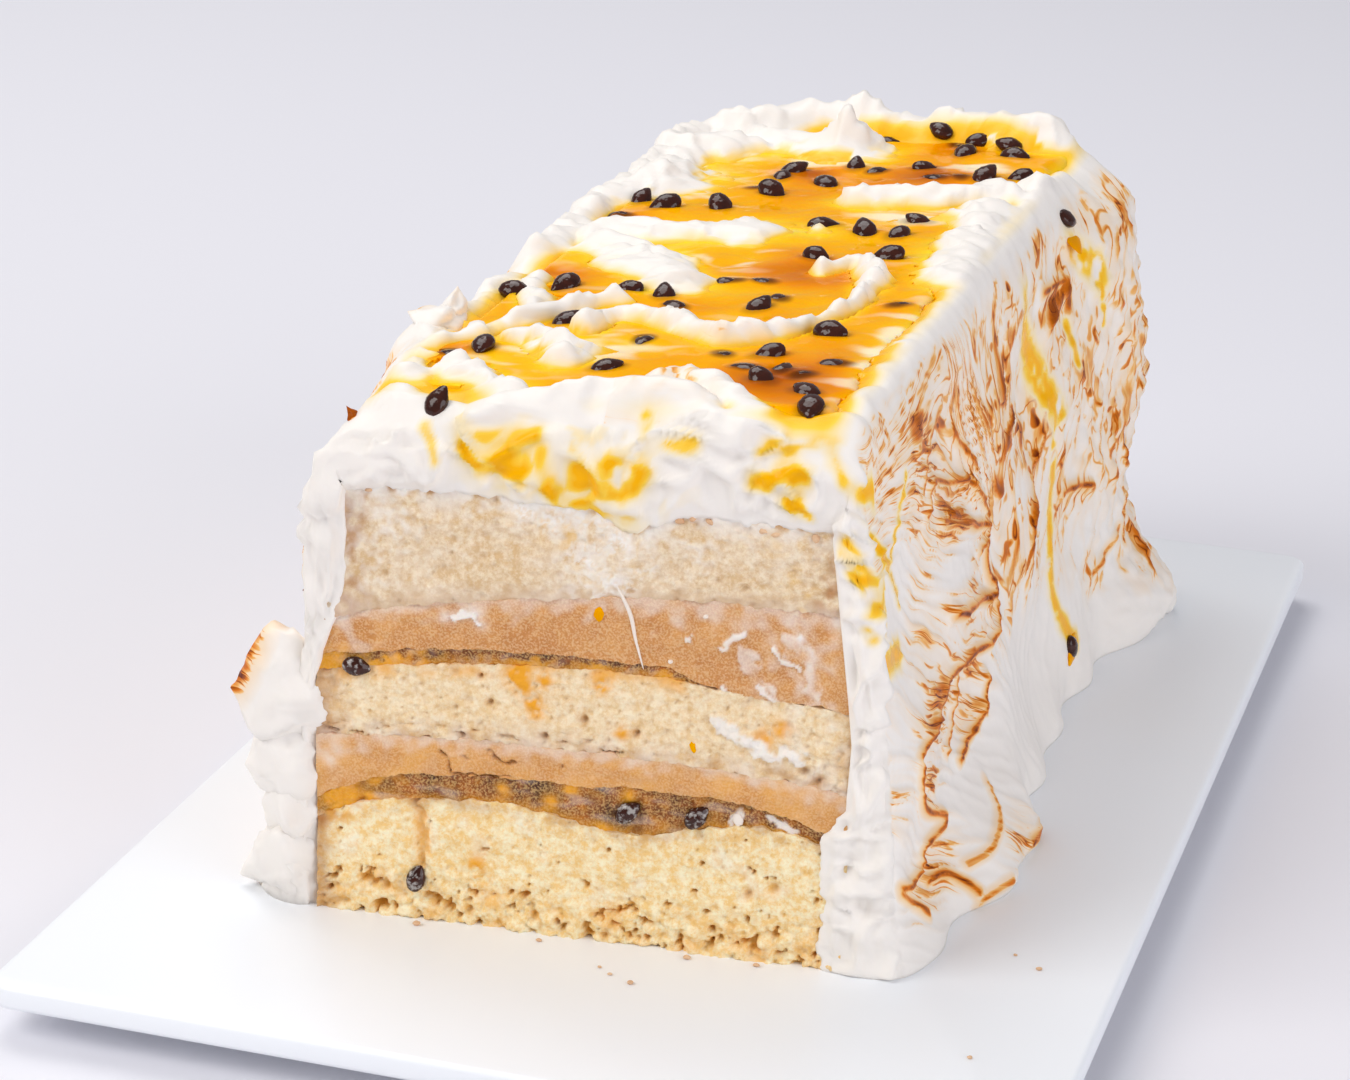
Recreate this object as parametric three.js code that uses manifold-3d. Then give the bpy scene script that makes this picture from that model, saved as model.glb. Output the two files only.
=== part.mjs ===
// A cut loaf of frozen layer cake on a flat white serving board: three sponges with mousse and
// passion fruit curd between them, a torched meringue coat, and passion fruit pulp on top.
// Millimetres, +Z up. The origin is on the table, under the middle of the board. The cut face
// looks along -Y and the loaf runs back along +Y.
import * as THREE from "three";
import { mergeVertices } from "three/addons/utils/BufferGeometryUtils.js";
import Module from "manifold-3d";

// Serving board: a thin slab on a lower foot that is set in all round.
const BOARD_WIDTH = 180;
const BOARD_LENGTH = 296;
const BOARD_CORNER = 5;
const SLAB_HEIGHT = 4.5;
const SLAB_ROUNDING = 1.2;
const FOOT_HEIGHT = 5.5;
const FOOT_INSET = 14;
const BOARD_TOP = FOOT_HEIGHT + SLAB_HEIGHT;

// Block of sponge, mousse and curd, turned out of a loaf tin and cut a little askew at the front.
const BLOCK_CENTRE = -2.5;
const BLOCK_HALF_FOOT = 46.5;
const BLOCK_HALF_BELLY = 47;
const BLOCK_BELLY_HEIGHT = 42;
const BLOCK_HALF_CROWN = 41.7;
const BLOCK_HEIGHT = 80;
const CUT_FRONT = -96.5;
const CUT_SLOPE = Math.tan(THREE.MathUtils.degToRad(4.4));
const BLOCK_BACK = 110;
const LAYER_STEPS_ALONG = 4;
const CURD_END = 0.43;
const CURD_STEPS = 10;
const BARE_STEPS = 5;
const GAP = 0.3;

// Meringue coat, measured from the board's top.
const COAT_LEFT_FOOT = -58;
const COAT_LEFT_SHOULDER = -52;
const COAT_RIGHT_FOOT = 55.5;
const COAT_RIGHT_SHOULDER = 45.5;
const COAT_SHOULDER_HEIGHT = 83;
const COAT_TOP = 94.5;
const COAT_TILT = 0.06;
const COAT_SHOULDER_RUN = 11;
const COAT_SHOULDER_FADE = [88, 97];
const LEFT_TUCK = 3;
const LEFT_TUCK_RUN = 40;
const COAT_BACK = 119;
const COAT_BACK_ROUNDING = 11;
const BACK_SHRINK = 0.12;
const COAT_STEPS_WALL = 11;
const COAT_STEPS_SHOULDER = 3;
const COAT_STEPS_TOP = 19;
const COAT_STEPS_ALONG = 46;
const LIP_BULGE = 2.5;
const LIP_RUN = 12;
const SKIRT_BULGE = 3;
const SKIRT_HEIGHT = 9;

// Ridges on the top: height of the crest, half width, and the places x, y that each runs through.
const RIDGES = [
  { crest: 5.5, half: 5, way: [[-22, -97], [-12, -94], [0, -91], [10, -91], [18, -95], [26, -98]] },
  { crest: 3.2, half: 4.5, way: [[-42, -88], [-34, -93], [-24, -97]] },
  { crest: 3.2, half: 4, way: [[24, -96], [33, -95], [43, -92]] },
  { crest: 4.5, half: 4, way: [[2, -90], [7, -78], [16, -85], [25, -95]] },
  { crest: 4.2, half: 5, way: [[-34, -76], [-28, -83], [-20, -89]] },
  { crest: 3.6, half: 4, way: [[-27, -56], [-20, -63], [-15, -70]] },
  { crest: 4.2, half: 3.2, way: [[-45, -65], [-36, -56], [-28, -42], [-20, -31]] },
  { crest: 4, half: 3, way: [[-38, -20], [-35, -32], [-30, -46]] },
  { crest: 5, half: 3.3, way: [[-17, -50], [-14, -42], [-8, -43], [0, -49], [9, -53], [14, -43], [20, -33]] },
  { crest: 5, half: 3.3, way: [[20, -33], [23, -18], [20, -3], [15, 3], [12, -4]] },
  { crest: 5, half: 8, way: [[-26, -3], [-18, -8], [-11, -18]] },
  { crest: 4.8, half: 5.5, way: [[-36, 13], [-24, 14], [-12, 15], [-4, 12]] },
  { crest: 5, half: 5, way: [[6, 50], [20, 52], [34, 57]] },
  { crest: 4, half: 7, way: [[38, -8], [37, 20], [37, 45]] },
  { crest: 5.5, half: 7, way: [[-46, 42], [-38, 58], [-42, 74], [-32, 92]] },
  { crest: 8.5, half: 6, way: [[-38, 100], [-14, 114], [12, 113], [32, 106]] },
  { crest: 5, half: 6, way: [[43, -85], [42, -60], [40, -35], [39, 0], [39, 30], [39, 60], [42, 82]] },
  { crest: 3.5, half: 5, way: [[-42, -86], [-45, -62], [-46, -46], [-45, -20]] },
  { crest: 7.5, half: 6, way: [[-46, 2], [-48, 20], [-48, 40], [-47, 66], [-43, 96]] },
];

// Peaks pulled up out of the meringue: place, height and half width.
const PEAKS = [
  { at: [-8, 93], height: 12, half: 4.5 },
  { at: [-10, 113], height: 5, half: 4 },
  { at: [3, 25], height: 3, half: 3.5 },
  { at: [38, 66], height: 4, half: 5 },
  { at: [-46, -50], height: 3, half: 4 },
];

// Lumps on the walls: side (-1 left, 1 right), place y and height z, bulge and reach.
const LUMPS = [
  { side: -1, at: [-90, 37], bulge: 10, reach: [18, 11] },
  { side: -1, at: [-94, 6], bulge: 4, reach: [22, 11] },
  { side: -1, at: [-50, 87], bulge: 5, reach: [7, 8] },
  { side: -1, at: [-30, 16], bulge: 6, reach: [18, 16] },
  { side: -1, at: [34, 30], bulge: 5, reach: [20, 24] },
  { side: -1, at: [88, 12], bulge: 8, reach: [16, 14] },
  { side: 1, at: [-38, 4], bulge: 8, reach: [28, 12] },
  { side: 1, at: [92, 6], bulge: 11, reach: [20, 11] },
  { side: 1, at: [30, 60], bulge: -2, reach: [9, 44] },
  { side: 1, at: [98, 72], bulge: 7.5, reach: [32, 46] },
];

// Passion fruit: the level of the pulp over the coat's top, and the places x, y of the seeds in it.
const PULP_LEVEL = 2.1;
const PULP_DEPTH = 8;
const PULP_SIDES = [-42, 38];
const PULP_ENDS = [-92, 108];
const SEED_LENGTH = 6.2;
const SEED_WIDTH = 4.3;
const SEED_HEIGHT = 2.8;
const SEED_TURN = 2.4;
const SEED_PLACES = [
  [-39, -29], [-37, -70], [-32, -66], [-23, -47], [-19, -24], [-7, -33], [-11, -27], [-31, -24],
  [-2, -14], [4, -13], [10, -24], [8, -31], [15, -60], [24, -45], [10, -61], [-6, -55],
  [-7, -73], [16, -68], [21, -75], [23, -69], [27, -71], [31, -63], [30, -80], [33, -88],
  [32, -24], [22, 8], [9, 5], [13, 26], [20, 25], [4, 30], [21, 37], [-20, 40],
  [-37, 42], [-31, 38], [-38, 31], [-5, 64], [-15, 67], [-14, 73], [-17, 57], [-13, 53],
  [-2, 78], [3, 76], [12, 81], [16, 73], [21, 74], [26, 74], [33, 75], [28, 94], [14, 102], [17, 95],
];

// Seeds that show in the cut face: place x, share of the layer's height, and turn in the face.
const FACE_SEEDS = {
  sponge_bottom: [{ x: -31, share: 0.32, turn: 1.5 }],
  curd_lower: [{ x: 6.5, share: 0.5, turn: 0.5 }, { x: 18.5, share: 0.5, turn: 0.2 }],
  curd_upper: [{ x: -42, share: 0.5, turn: 0.05 }],
};

// Seeds that slid off the pulp onto the meringue: place over the board, and the way each one faces.
const STRAY_SEEDS = [
  { at: [45, 66, 94], out: [0.7, 0, 0.7] },
  { at: [55.5, 44, 13.5], out: [1, 0, 0.1] },
  { at: [-30.5, -96.5, 95], out: [-0.2, -0.8, 0.6] },
];

const wasm = await Module();
wasm.setup();

// A closed geometry as a solid that can be joined and cut, and back again.
function solidOf(geometry) {
  const bare = geometry.clone();
  bare.deleteAttribute("normal");
  bare.deleteAttribute("uv");
  const merged = mergeVertices(bare, 1e-4);
  const mesh = new wasm.Mesh({
    numProp: 3,
    vertProperties: new Float32Array(merged.attributes.position.array),
    triVerts: new Uint32Array(merged.index.array),
  });
  return new wasm.Manifold(mesh);
}

function geometryOf(solid) {
  const mesh = solid.getMesh();
  const geometry = new THREE.BufferGeometry();
  const places = new THREE.BufferAttribute(new Float32Array(mesh.vertProperties), 3);
  geometry.setAttribute("position", places);
  geometry.setIndex(Array.from(mesh.triVerts));
  geometry.computeVertexNormals();
  return geometry;
}

// Geometry from points and from quads of point numbers, each quad seen counterclockwise from outside.
function quadGeometry(points, quads) {
  const geometry = new THREE.BufferGeometry();
  geometry.setFromPoints(points);
  geometry.setIndex(quads.flatMap(([a, b, c, d]) => [a, b, c, a, c, d]));
  return geometry;
}

function mesh(name, geometry, colour, roughness) {
  const material = new THREE.MeshStandardMaterial({ color: colour, roughness, metalness: 0 });
  const part = new THREE.Mesh(geometry, material);
  part.name = name;
  return part;
}

// Serving board

function roundedRectangle(width, length, radius) {
  const shape = new THREE.Shape();
  const x = width / 2 - radius;
  const y = length / 2 - radius;
  shape.absarc(x, -y, radius, -Math.PI / 2, 0);
  shape.absarc(x, y, radius, 0, Math.PI / 2);
  shape.absarc(-x, y, radius, Math.PI / 2, Math.PI);
  shape.absarc(-x, -y, radius, Math.PI, 1.5 * Math.PI);
  return shape;
}

function board() {
  const slab = new THREE.ExtrudeGeometry(roundedRectangle(BOARD_WIDTH, BOARD_LENGTH, BOARD_CORNER), {
    depth: SLAB_HEIGHT - 2 * SLAB_ROUNDING,
    bevelThickness: SLAB_ROUNDING,
    bevelSize: SLAB_ROUNDING,
    bevelOffset: -SLAB_ROUNDING,
    bevelSegments: 2,
    curveSegments: 4,
  });
  slab.translate(0, 0, FOOT_HEIGHT + SLAB_ROUNDING);
  const foot = new THREE.ExtrudeGeometry(
    roundedRectangle(BOARD_WIDTH - 2 * FOOT_INSET, BOARD_LENGTH - 2 * FOOT_INSET, BOARD_CORNER),
    { depth: FOOT_HEIGHT + SLAB_HEIGHT / 2, bevelEnabled: false, curveSegments: 4 },
  );
  return geometryOf(solidOf(slab).add(solidOf(foot)));
}

// Layers of the block. across runs from -1 at the left wall to 1 at the right one.

function cutAt(x) {
  return CUT_FRONT + (x - BLOCK_CENTRE) * CUT_SLOPE;
}

function blockHalf(height) {
  const overBelly = (height - BLOCK_BELLY_HEIGHT) / (BLOCK_HEIGHT - BLOCK_BELLY_HEIGHT);
  if (overBelly < 0) {
    return THREE.MathUtils.lerp(BLOCK_HALF_FOOT, BLOCK_HALF_BELLY, height / BLOCK_BELLY_HEIGHT);
  }
  return THREE.MathUtils.lerp(BLOCK_HALF_BELLY, BLOCK_HALF_CROWN, overBelly);
}

// Soft wave along the loaf that keeps two layers from running dead straight.
function sway(across, y, size) {
  return size * Math.sin(y / 31 + 2 * across) * Math.cos(y / 57 - across);
}

// The lower curd sags into a pocket of the sponge, and the upper one thins out to its end.
function curdPocket(across) {
  return 4.3 * Math.exp(-(((across - 0.2) / 0.28) ** 2));
}

function curdWedge(across) {
  const ended = THREE.MathUtils.smoothstep(across, 0.3, CURD_END + 0.06);
  return (3.4 - 1.3 * across) * (1 - ended);
}

// Height of each face between two layers, from the board up.
const FACES = [
  () => 0,
  (a, y) => 24.5 + 2 * a - 6 * a ** 4 - curdPocket(a) + sway(a, y, 0.8),
  (a, y) => 28.8 + 1.2 * a - 7.5 * a ** 4 + sway(a, y, 0.8),
  (a, y) => 35.2 - 2.9 * a ** 2 + sway(a, y, 0.6),
  (a, y) => 49 + 2.2 * a - 4.5 * a ** 2 + sway(a, y, 0.7),
  (a, y) => 49 + 2.2 * a - 4.5 * a ** 2 + sway(a, y, 0.7) + curdWedge(a),
  (a, y) => 62.5 + 2.6 * a - 2.2 * a ** 2 + sway(a, y, 0.6),
  () => BLOCK_HEIGHT,
];

// Step number i across the block, closer together where the upper curd lies. All layers share these steps.
function acrossAt(i) {
  if (i <= CURD_STEPS) {
    return THREE.MathUtils.mapLinear(i, 0, CURD_STEPS, -1, CURD_END);
  }
  return THREE.MathUtils.mapLinear(i, CURD_STEPS, CURD_STEPS + BARE_STEPS, CURD_END, 1);
}

// A layer of some steps between two faces, with half a gap left at each one.
function layer(bottom, top, steps) {
  const points = [];
  const place = (i, j, face, lift) => {
    const across = acrossAt(i);
    const along = j / LAYER_STEPS_ALONG;
    const y = THREE.MathUtils.lerp(CUT_FRONT, BLOCK_BACK, along);
    const height = FACES[face](across, y) + lift;
    const x = BLOCK_CENTRE + across * blockHalf(height);
    const front = THREE.MathUtils.lerp(cutAt(x), BLOCK_BACK, along);
    points.push(new THREE.Vector3(x, front, BOARD_TOP + height));
  };
  const liftBottom = bottom === 0 ? 0 : GAP / 2;
  const liftTop = top === FACES.length - 1 ? 0 : -GAP / 2;
  for (let j = 0; j <= LAYER_STEPS_ALONG; j++) {
    for (let i = 0; i <= steps; i++) {
      place(i, j, bottom, liftBottom);
      place(i, j, top, liftTop);
    }
  }
  const under = (i, j) => 2 * (j * (steps + 1) + i);
  const over = (i, j) => under(i, j) + 1;
  const quads = [];
  for (let j = 0; j < LAYER_STEPS_ALONG; j++) {
    for (let i = 0; i < steps; i++) {
      quads.push([over(i, j), over(i + 1, j), over(i + 1, j + 1), over(i, j + 1)]);
      quads.push([under(i, j), under(i, j + 1), under(i + 1, j + 1), under(i + 1, j)]);
    }
    const last = steps;
    quads.push([under(0, j), over(0, j), over(0, j + 1), under(0, j + 1)]);
    quads.push([under(last, j), under(last, j + 1), over(last, j + 1), over(last, j)]);
  }
  const back = LAYER_STEPS_ALONG;
  for (let i = 0; i < steps; i++) {
    quads.push([under(i, 0), under(i + 1, 0), over(i + 1, 0), over(i, 0)]);
    quads.push([under(i, back), over(i, back), over(i + 1, back), under(i + 1, back)]);
  }
  return quadGeometry(points, quads);
}

// A seed: a flat oval with few sides, turned about the vertical.
function seedOval(turn) {
  const oval = new THREE.OctahedronGeometry(0.5, 1);
  oval.scale(SEED_LENGTH, SEED_WIDTH, SEED_HEIGHT);
  oval.rotateZ(turn);
  return oval;
}

// Seeds in the cut face of the layer between two faces, half sunk, each with its own turn.
function withFaceSeeds(name, geometry, bottom, top) {
  let whole = solidOf(geometry);
  for (const { x, share, turn } of FACE_SEEDS[name] ?? []) {
    const across = (x - BLOCK_CENTRE) / BLOCK_HALF_FOOT;
    const [low, high] = [bottom, top].map((face) => FACES[face](across, CUT_FRONT));
    const z = BOARD_TOP + THREE.MathUtils.lerp(low, high, share);
    const oval = seedOval(turn);
    oval.rotateX(Math.PI / 2);
    oval.translate(x, cutAt(x) - SEED_HEIGHT / 4, z);
    whole = whole.add(solidOf(oval));
  }
  return geometryOf(whole);
}

// Meringue coat

// Evenly spaced places along a smooth way through the given ones.
function smoothWay(way) {
  const curve = new THREE.CatmullRomCurve3(way.map(([x, y]) => new THREE.Vector3(x, y, 0)));
  return curve.getSpacedPoints(Math.ceil(curve.getLength() / 2));
}

const ridgeWays = RIDGES.map((ridge) => ({ ...ridge, places: smoothWay(ridge.way) }));

// Rise of the coat's top at a place, over its plain level.
function topRise(x, y) {
  let rise = 0;
  for (const { crest, half, places } of ridgeWays) {
    const nearest = Math.min(...places.map((place) => Math.hypot(place.x - x, place.y - y)));
    rise = Math.max(rise, crest * Math.exp(-((nearest / half) ** 2)));
  }
  for (const { at, height, half } of PEAKS) {
    rise += height * Math.exp(-Math.hypot(at[0] - x, at[1] - y) / half);
  }
  return rise;
}

// How far the wall on one side stands out at a place y and height z.
function wallRise(side, y, z) {
  const strokes = 0.7 * Math.sin(y / 8.3 + z / 9 + side) + 0.7 * Math.sin(y / 13 - z / 7);
  const ruffle = 0.6 + 0.4 * Math.sin(y / 4.3 + 2 * side);
  let rise = strokes + SKIRT_BULGE * ruffle * Math.exp(-((z / SKIRT_HEIGHT) ** 2));
  for (const lump of LUMPS.filter((each) => each.side === side)) {
    const away = ((y - lump.at[0]) / lump.reach[0]) ** 2 + ((z - lump.at[1]) / lump.reach[1]) ** 2;
    rise += lump.bulge * Math.exp(-away);
  }
  return rise;
}

// The coat's plain section from the left foot over the top to the right foot, x across and z up.
function coatSection() {
  const point = (x, z) => new THREE.Vector2(x, z);
  const leftFoot = point(COAT_LEFT_FOOT, 0);
  const leftShoulder = point(COAT_LEFT_SHOULDER, COAT_SHOULDER_HEIGHT);
  const rightShoulder = point(COAT_RIGHT_SHOULDER, COAT_SHOULDER_HEIGHT);
  const rightFoot = point(COAT_RIGHT_FOOT, 0);
  const topAt = (x) => point(x, COAT_TOP + COAT_TILT * x);
  const topLeft = topAt(COAT_LEFT_SHOULDER + COAT_SHOULDER_RUN);
  const topRight = topAt(COAT_RIGHT_SHOULDER - COAT_SHOULDER_RUN);
  const leftPull = topAt(COAT_LEFT_SHOULDER + 2);
  const rightPull = topAt(COAT_RIGHT_SHOULDER - 2);
  const leftBend = new THREE.QuadraticBezierCurve(leftShoulder, leftPull, topLeft);
  const rightBend = new THREE.QuadraticBezierCurve(topRight, rightPull, rightShoulder);
  const pieces = [
    [new THREE.LineCurve(leftFoot, leftShoulder), COAT_STEPS_WALL],
    [leftBend, COAT_STEPS_SHOULDER],
    [new THREE.LineCurve(topLeft, topRight), COAT_STEPS_TOP],
    [rightBend, COAT_STEPS_SHOULDER],
    [new THREE.LineCurve(rightShoulder, rightFoot), COAT_STEPS_WALL],
  ];
  const points = pieces.flatMap(([curve, steps]) => curve.getSpacedPoints(steps).slice(0, -1));
  return [...points, rightFoot];
}

// One ring of the coat at a place along the loaf, shrunk towards the foot of the section by shrink.
// The cut runs askew at the front, the soft lip over the block hangs forward a little, and the left
// shoulder is tucked in there.
function coatRing(section, y, shrink) {
  const along = THREE.MathUtils.inverseLerp(CUT_FRONT, COAT_BACK - COAT_BACK_ROUNDING, y);
  const lip = LIP_BULGE * Math.max(0, 1 - (y - CUT_FRONT) / LIP_RUN);
  const frontTuck = LEFT_TUCK * Math.exp(-(((y - CUT_FRONT) / LEFT_TUCK_RUN) ** 2));
  return section.map(({ x, y: z }) => {
    const onTop = THREE.MathUtils.smoothstep(z, COAT_SHOULDER_HEIGHT, COAT_SHOULDER_HEIGHT + 6);
    const onWall = 1 - THREE.MathUtils.smoothstep(z, ...COAT_SHOULDER_FADE);
    const side = Math.sign(x);
    const tuck = (frontTuck * Math.min(1, z / COAT_SHOULDER_HEIGHT) * Math.max(0, -x)) / -COAT_LEFT_SHOULDER;
    const outX = x + tuck + side * onWall * wallRise(side, y, z);
    const outZ = z + onTop * topRise(x, y);
    const askew = (cutAt(x) - CUT_FRONT) * Math.max(0, 1 - along);
    return new THREE.Vector3(outX * shrink, y + askew - lip * onTop, BOARD_TOP + outZ * shrink);
  });
}

// The back wall's ring at a share of the section's size, with the same strokes as the side walls.
function backRing(section, shrink) {
  return coatRing(section, COAT_BACK, shrink).map((place) => {
    place.y += 0.5 * wallRise(-1, 1.2 * place.x, place.z);
    return place;
  });
}

function coatOuter() {
  const section = coatSection();
  const rings = [];
  const straightBack = COAT_BACK - COAT_BACK_ROUNDING;
  for (let j = 0; j <= COAT_STEPS_ALONG; j++) {
    const along = j / COAT_STEPS_ALONG;
    rings.push(coatRing(section, THREE.MathUtils.lerp(CUT_FRONT, straightBack, along), 1));
  }
  for (const bend of [0.35, 0.65, 0.88]) {
    const angle = (bend * Math.PI) / 2;
    const y = straightBack + COAT_BACK_ROUNDING * Math.sin(angle);
    rings.push(coatRing(section, y, 1 - BACK_SHRINK * (1 - Math.cos(angle))));
  }
  for (const share of [1, 0.78, 0.55, 0.3]) {
    rings.push(backRing(section, share * (1 - BACK_SHRINK)));
  }
  const count = section.length;
  const at = (ring, i) => ring * count + i;
  const quads = [];
  for (let ring = 0; ring + 1 < rings.length; ring++) {
    for (let i = 0; i < count; i++) {
      const next = (i + 1) % count;
      quads.push([at(ring, i), at(ring, next), at(ring + 1, next), at(ring + 1, i)]);
    }
  }
  const last = rings.length - 1;
  for (let i = 0; i + 1 < count / 2; i++) {
    const far = count - 1 - i;
    quads.push([at(0, i), at(0, far), at(0, far - 1), at(0, i + 1)]);
    quads.push([at(last, i), at(last, i + 1), at(last, far - 1), at(last, far)]);
  }
  const whole = quads.filter((corners) => new Set(corners).size === 4);
  return solidOf(quadGeometry(rings.flat(), whole));
}

// Room in the coat for the block, open at the front and at the foot.
function coatRoom() {
  const levels = [-1, BLOCK_BELLY_HEIGHT, BLOCK_HEIGHT + GAP];
  const outline = new THREE.Shape();
  const walls = levels.map((z) => [blockHalf(Math.max(z, 0)) + GAP, z]);
  outline.setFromPoints([
    ...walls.map(([half, z]) => new THREE.Vector2(BLOCK_CENTRE + half, z)),
    ...walls.reverse().map(([half, z]) => new THREE.Vector2(BLOCK_CENTRE - half, z)),
  ]);
  const reach = BOARD_LENGTH / 2;
  const depth = BLOCK_BACK + GAP + reach;
  const room = new THREE.ExtrudeGeometry(outline, { depth, bevelEnabled: false });
  room.rotateX(Math.PI / 2);
  room.translate(0, BLOCK_BACK + GAP, BOARD_TOP);
  return solidOf(room);
}

// Passion fruit pulp

function pulpSlab() {
  const width = PULP_SIDES[1] - PULP_SIDES[0];
  const length = PULP_ENDS[1] - PULP_ENDS[0];
  const slab = new THREE.BoxGeometry(width, length, PULP_DEPTH);
  const places = slab.attributes.position;
  const middle = (PULP_SIDES[0] + PULP_SIDES[1]) / 2;
  const level = BOARD_TOP + COAT_TOP + PULP_LEVEL - PULP_DEPTH / 2;
  slab.translate(middle, (PULP_ENDS[0] + PULP_ENDS[1]) / 2, level);
  for (let i = 0; i < places.count; i++) {
    places.setZ(i, places.getZ(i) + COAT_TILT * places.getX(i));
  }
  return solidOf(slab);
}

function pulpSeeds() {
  return SEED_PLACES.map(([x, y], k) => {
    const oval = seedOval(SEED_TURN * k);
    oval.translate(x, y, BOARD_TOP + COAT_TOP + COAT_TILT * x + PULP_LEVEL);
    return solidOf(oval);
  });
}

// The pulp fills the hollows of the coat's top and runs together into one pool.
function pulp(outer) {
  const flooded = pulpSeeds().reduce((whole, each) => whole.add(each), pulpSlab());
  const pools = flooded.subtract(outer.translate([0, 0, GAP])).decompose();
  return pools.reduce((largest, pool) => (pool.volume() > largest.volume() ? pool : largest));
}

// Stray seeds lie flat on the meringue, half sunk.
function straySeeds() {
  const upwards = new THREE.Vector3(0, 0, 1);
  return STRAY_SEEDS.map(({ at, out }) => {
    const facing = new THREE.Vector3(...out).normalize();
    const oval = seedOval(0);
    oval.applyQuaternion(new THREE.Quaternion().setFromUnitVectors(upwards, facing));
    oval.translate(at[0], at[1], BOARD_TOP + at[2]);
    return solidOf(oval);
  });
}

// Assembly

const cake = new THREE.Group();
cake.add(mesh("board", board(), "#f4f3f1", 0.35));

const fullSteps = CURD_STEPS + BARE_STEPS;
const layers = [
  ["sponge_bottom", 0, 1, fullSteps, "#e9ca88", 0.95],
  ["curd_lower", 1, 2, fullSteps, "#8a5a22", 0.6],
  ["mousse_lower", 2, 3, fullSteps, "#cd9b69", 0.8],
  ["sponge_middle", 3, 4, fullSteps, "#e8cb92", 0.95],
  ["curd_upper", 4, 5, CURD_STEPS, "#8a5a22", 0.6],
  ["mousse_upper", 5, 6, fullSteps, "#c8925f", 0.8],
  ["sponge_top", 6, 7, fullSteps, "#dfc6a0", 0.95],
];
for (const [name, bottom, top, steps, colour, roughness] of layers) {
  const geometry = withFaceSeeds(name, layer(bottom, top, steps), bottom, top);
  cake.add(mesh(name, geometry, colour, roughness));
}

const outer = coatOuter();
const coat = straySeeds().reduce((whole, each) => whole.add(each), outer.subtract(coatRoom()));
cake.add(mesh("meringue", geometryOf(coat), "#fbf7f0", 0.5));
cake.add(mesh("passion_pulp", geometryOf(pulp(outer)), "#f0a010", 0.15));

export default cake;
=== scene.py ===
# %% [markdown]
# # A cut loaf of frozen layer cake on its serving board
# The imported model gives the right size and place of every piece: a flat board, seven layers of
# sponge, mousse and curd, a meringue coat, and passion fruit pulp on top. Its solids are plain, so
# this lesson makes each one again with the crumb, strokes and gloss that the eye looks for.

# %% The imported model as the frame
import math

import bpy
import numpy as np
from mathutils import Matrix, Vector


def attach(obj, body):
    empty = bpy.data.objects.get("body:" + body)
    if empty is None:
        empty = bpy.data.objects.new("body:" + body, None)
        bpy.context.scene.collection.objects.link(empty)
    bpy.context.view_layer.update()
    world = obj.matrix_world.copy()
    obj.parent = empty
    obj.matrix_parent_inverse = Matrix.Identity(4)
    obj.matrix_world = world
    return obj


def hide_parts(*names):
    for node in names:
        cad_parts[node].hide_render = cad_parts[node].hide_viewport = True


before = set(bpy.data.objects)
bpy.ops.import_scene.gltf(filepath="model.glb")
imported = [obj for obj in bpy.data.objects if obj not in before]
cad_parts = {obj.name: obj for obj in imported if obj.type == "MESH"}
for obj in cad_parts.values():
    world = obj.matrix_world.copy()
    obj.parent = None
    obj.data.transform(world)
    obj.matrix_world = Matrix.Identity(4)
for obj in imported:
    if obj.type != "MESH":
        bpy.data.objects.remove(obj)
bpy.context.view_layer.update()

MM = 0.001

# %% [markdown]
# ## Camera
# The view was worked out from the four edges of the board: a long lens, a little to the right of
# the cut face and twenty degrees above the table. A camera looks along its own -Z axis, so its
# three axes are built from that direction and put into one matrix.

# %% Camera
YAW = math.radians(16.4)
PITCH = math.radians(19.85)
ROLL = math.radians(1.95)
LENS, SENSOR = 99.73, 36
CAMERA_PLACE = (177.42, -654.98, 295.76)
ahead = Vector((-math.sin(YAW) * math.cos(PITCH), math.cos(YAW) * math.cos(PITCH), -math.sin(PITCH)))
level_right = Vector((math.cos(YAW), math.sin(YAW), 0))
level_up = level_right.cross(ahead)
right = level_right * math.cos(ROLL) + level_up * math.sin(ROLL)
up = level_up * math.cos(ROLL) - level_right * math.sin(ROLL)

bpy.ops.object.camera_add()
camera = bpy.context.object
camera.data.sensor_width = SENSOR
camera.data.lens = LENS
axes = Matrix((right, up, -ahead)).transposed().to_4x4()
camera.matrix_world = Matrix.Translation(Vector(CAMERA_PLACE) * MM) @ axes
bpy.context.scene.camera = camera
print("camera at", [round(c, 3) for c in camera.location])

# %% [markdown]
# ## Colours and materials
# Colours are written as the hex values that a screen shows. Shaders add light, which needs linear
# numbers, so one function turns hex to linear. Another adds a node, sets it up and links it, and a
# few short ones name the nodes that this cake uses most: noise, ranges, sums and mixed colours.

# %% Colour and node helpers
def linear(hex_colour):
    """A hex colour such as "F4E8D0" as linear red, green, blue and alpha."""
    shown = [int(hex_colour[i:i + 2], 16) / 255 for i in (0, 2, 4)]
    return [c / 12.92 if c <= 0.04045 else ((c + 0.055) / 1.055) ** 2.4 for c in shown] + [1.0]


def new_material(name):
    """A material, its node tree and its shader."""
    material = bpy.data.materials.new(name)
    material.use_nodes = True
    return material, material.node_tree, material.node_tree.nodes["Principled BSDF"]


def node(tree, kind, inputs=None, **settings):
    """Adds a node. Each input is a value, or the output of another node to link."""
    made = tree.nodes.new(kind)
    for name, value in settings.items():
        setattr(made, name, value)
    for socket, value in (inputs or {}).items():
        if isinstance(value, bpy.types.NodeSocket):
            tree.links.new(value, made.inputs[socket])
        else:
            made.inputs[socket].default_value = value
    return made


# Sockets of a colour Mix node, which has one set of them for each kind of data.
FACTOR, FIRST, SECOND, MIXED = 0, 6, 7, 2


def own_place(tree):
    """The place on the piece itself, in metres."""
    return node(tree, "ShaderNodeTexCoord").outputs["Object"]


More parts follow.
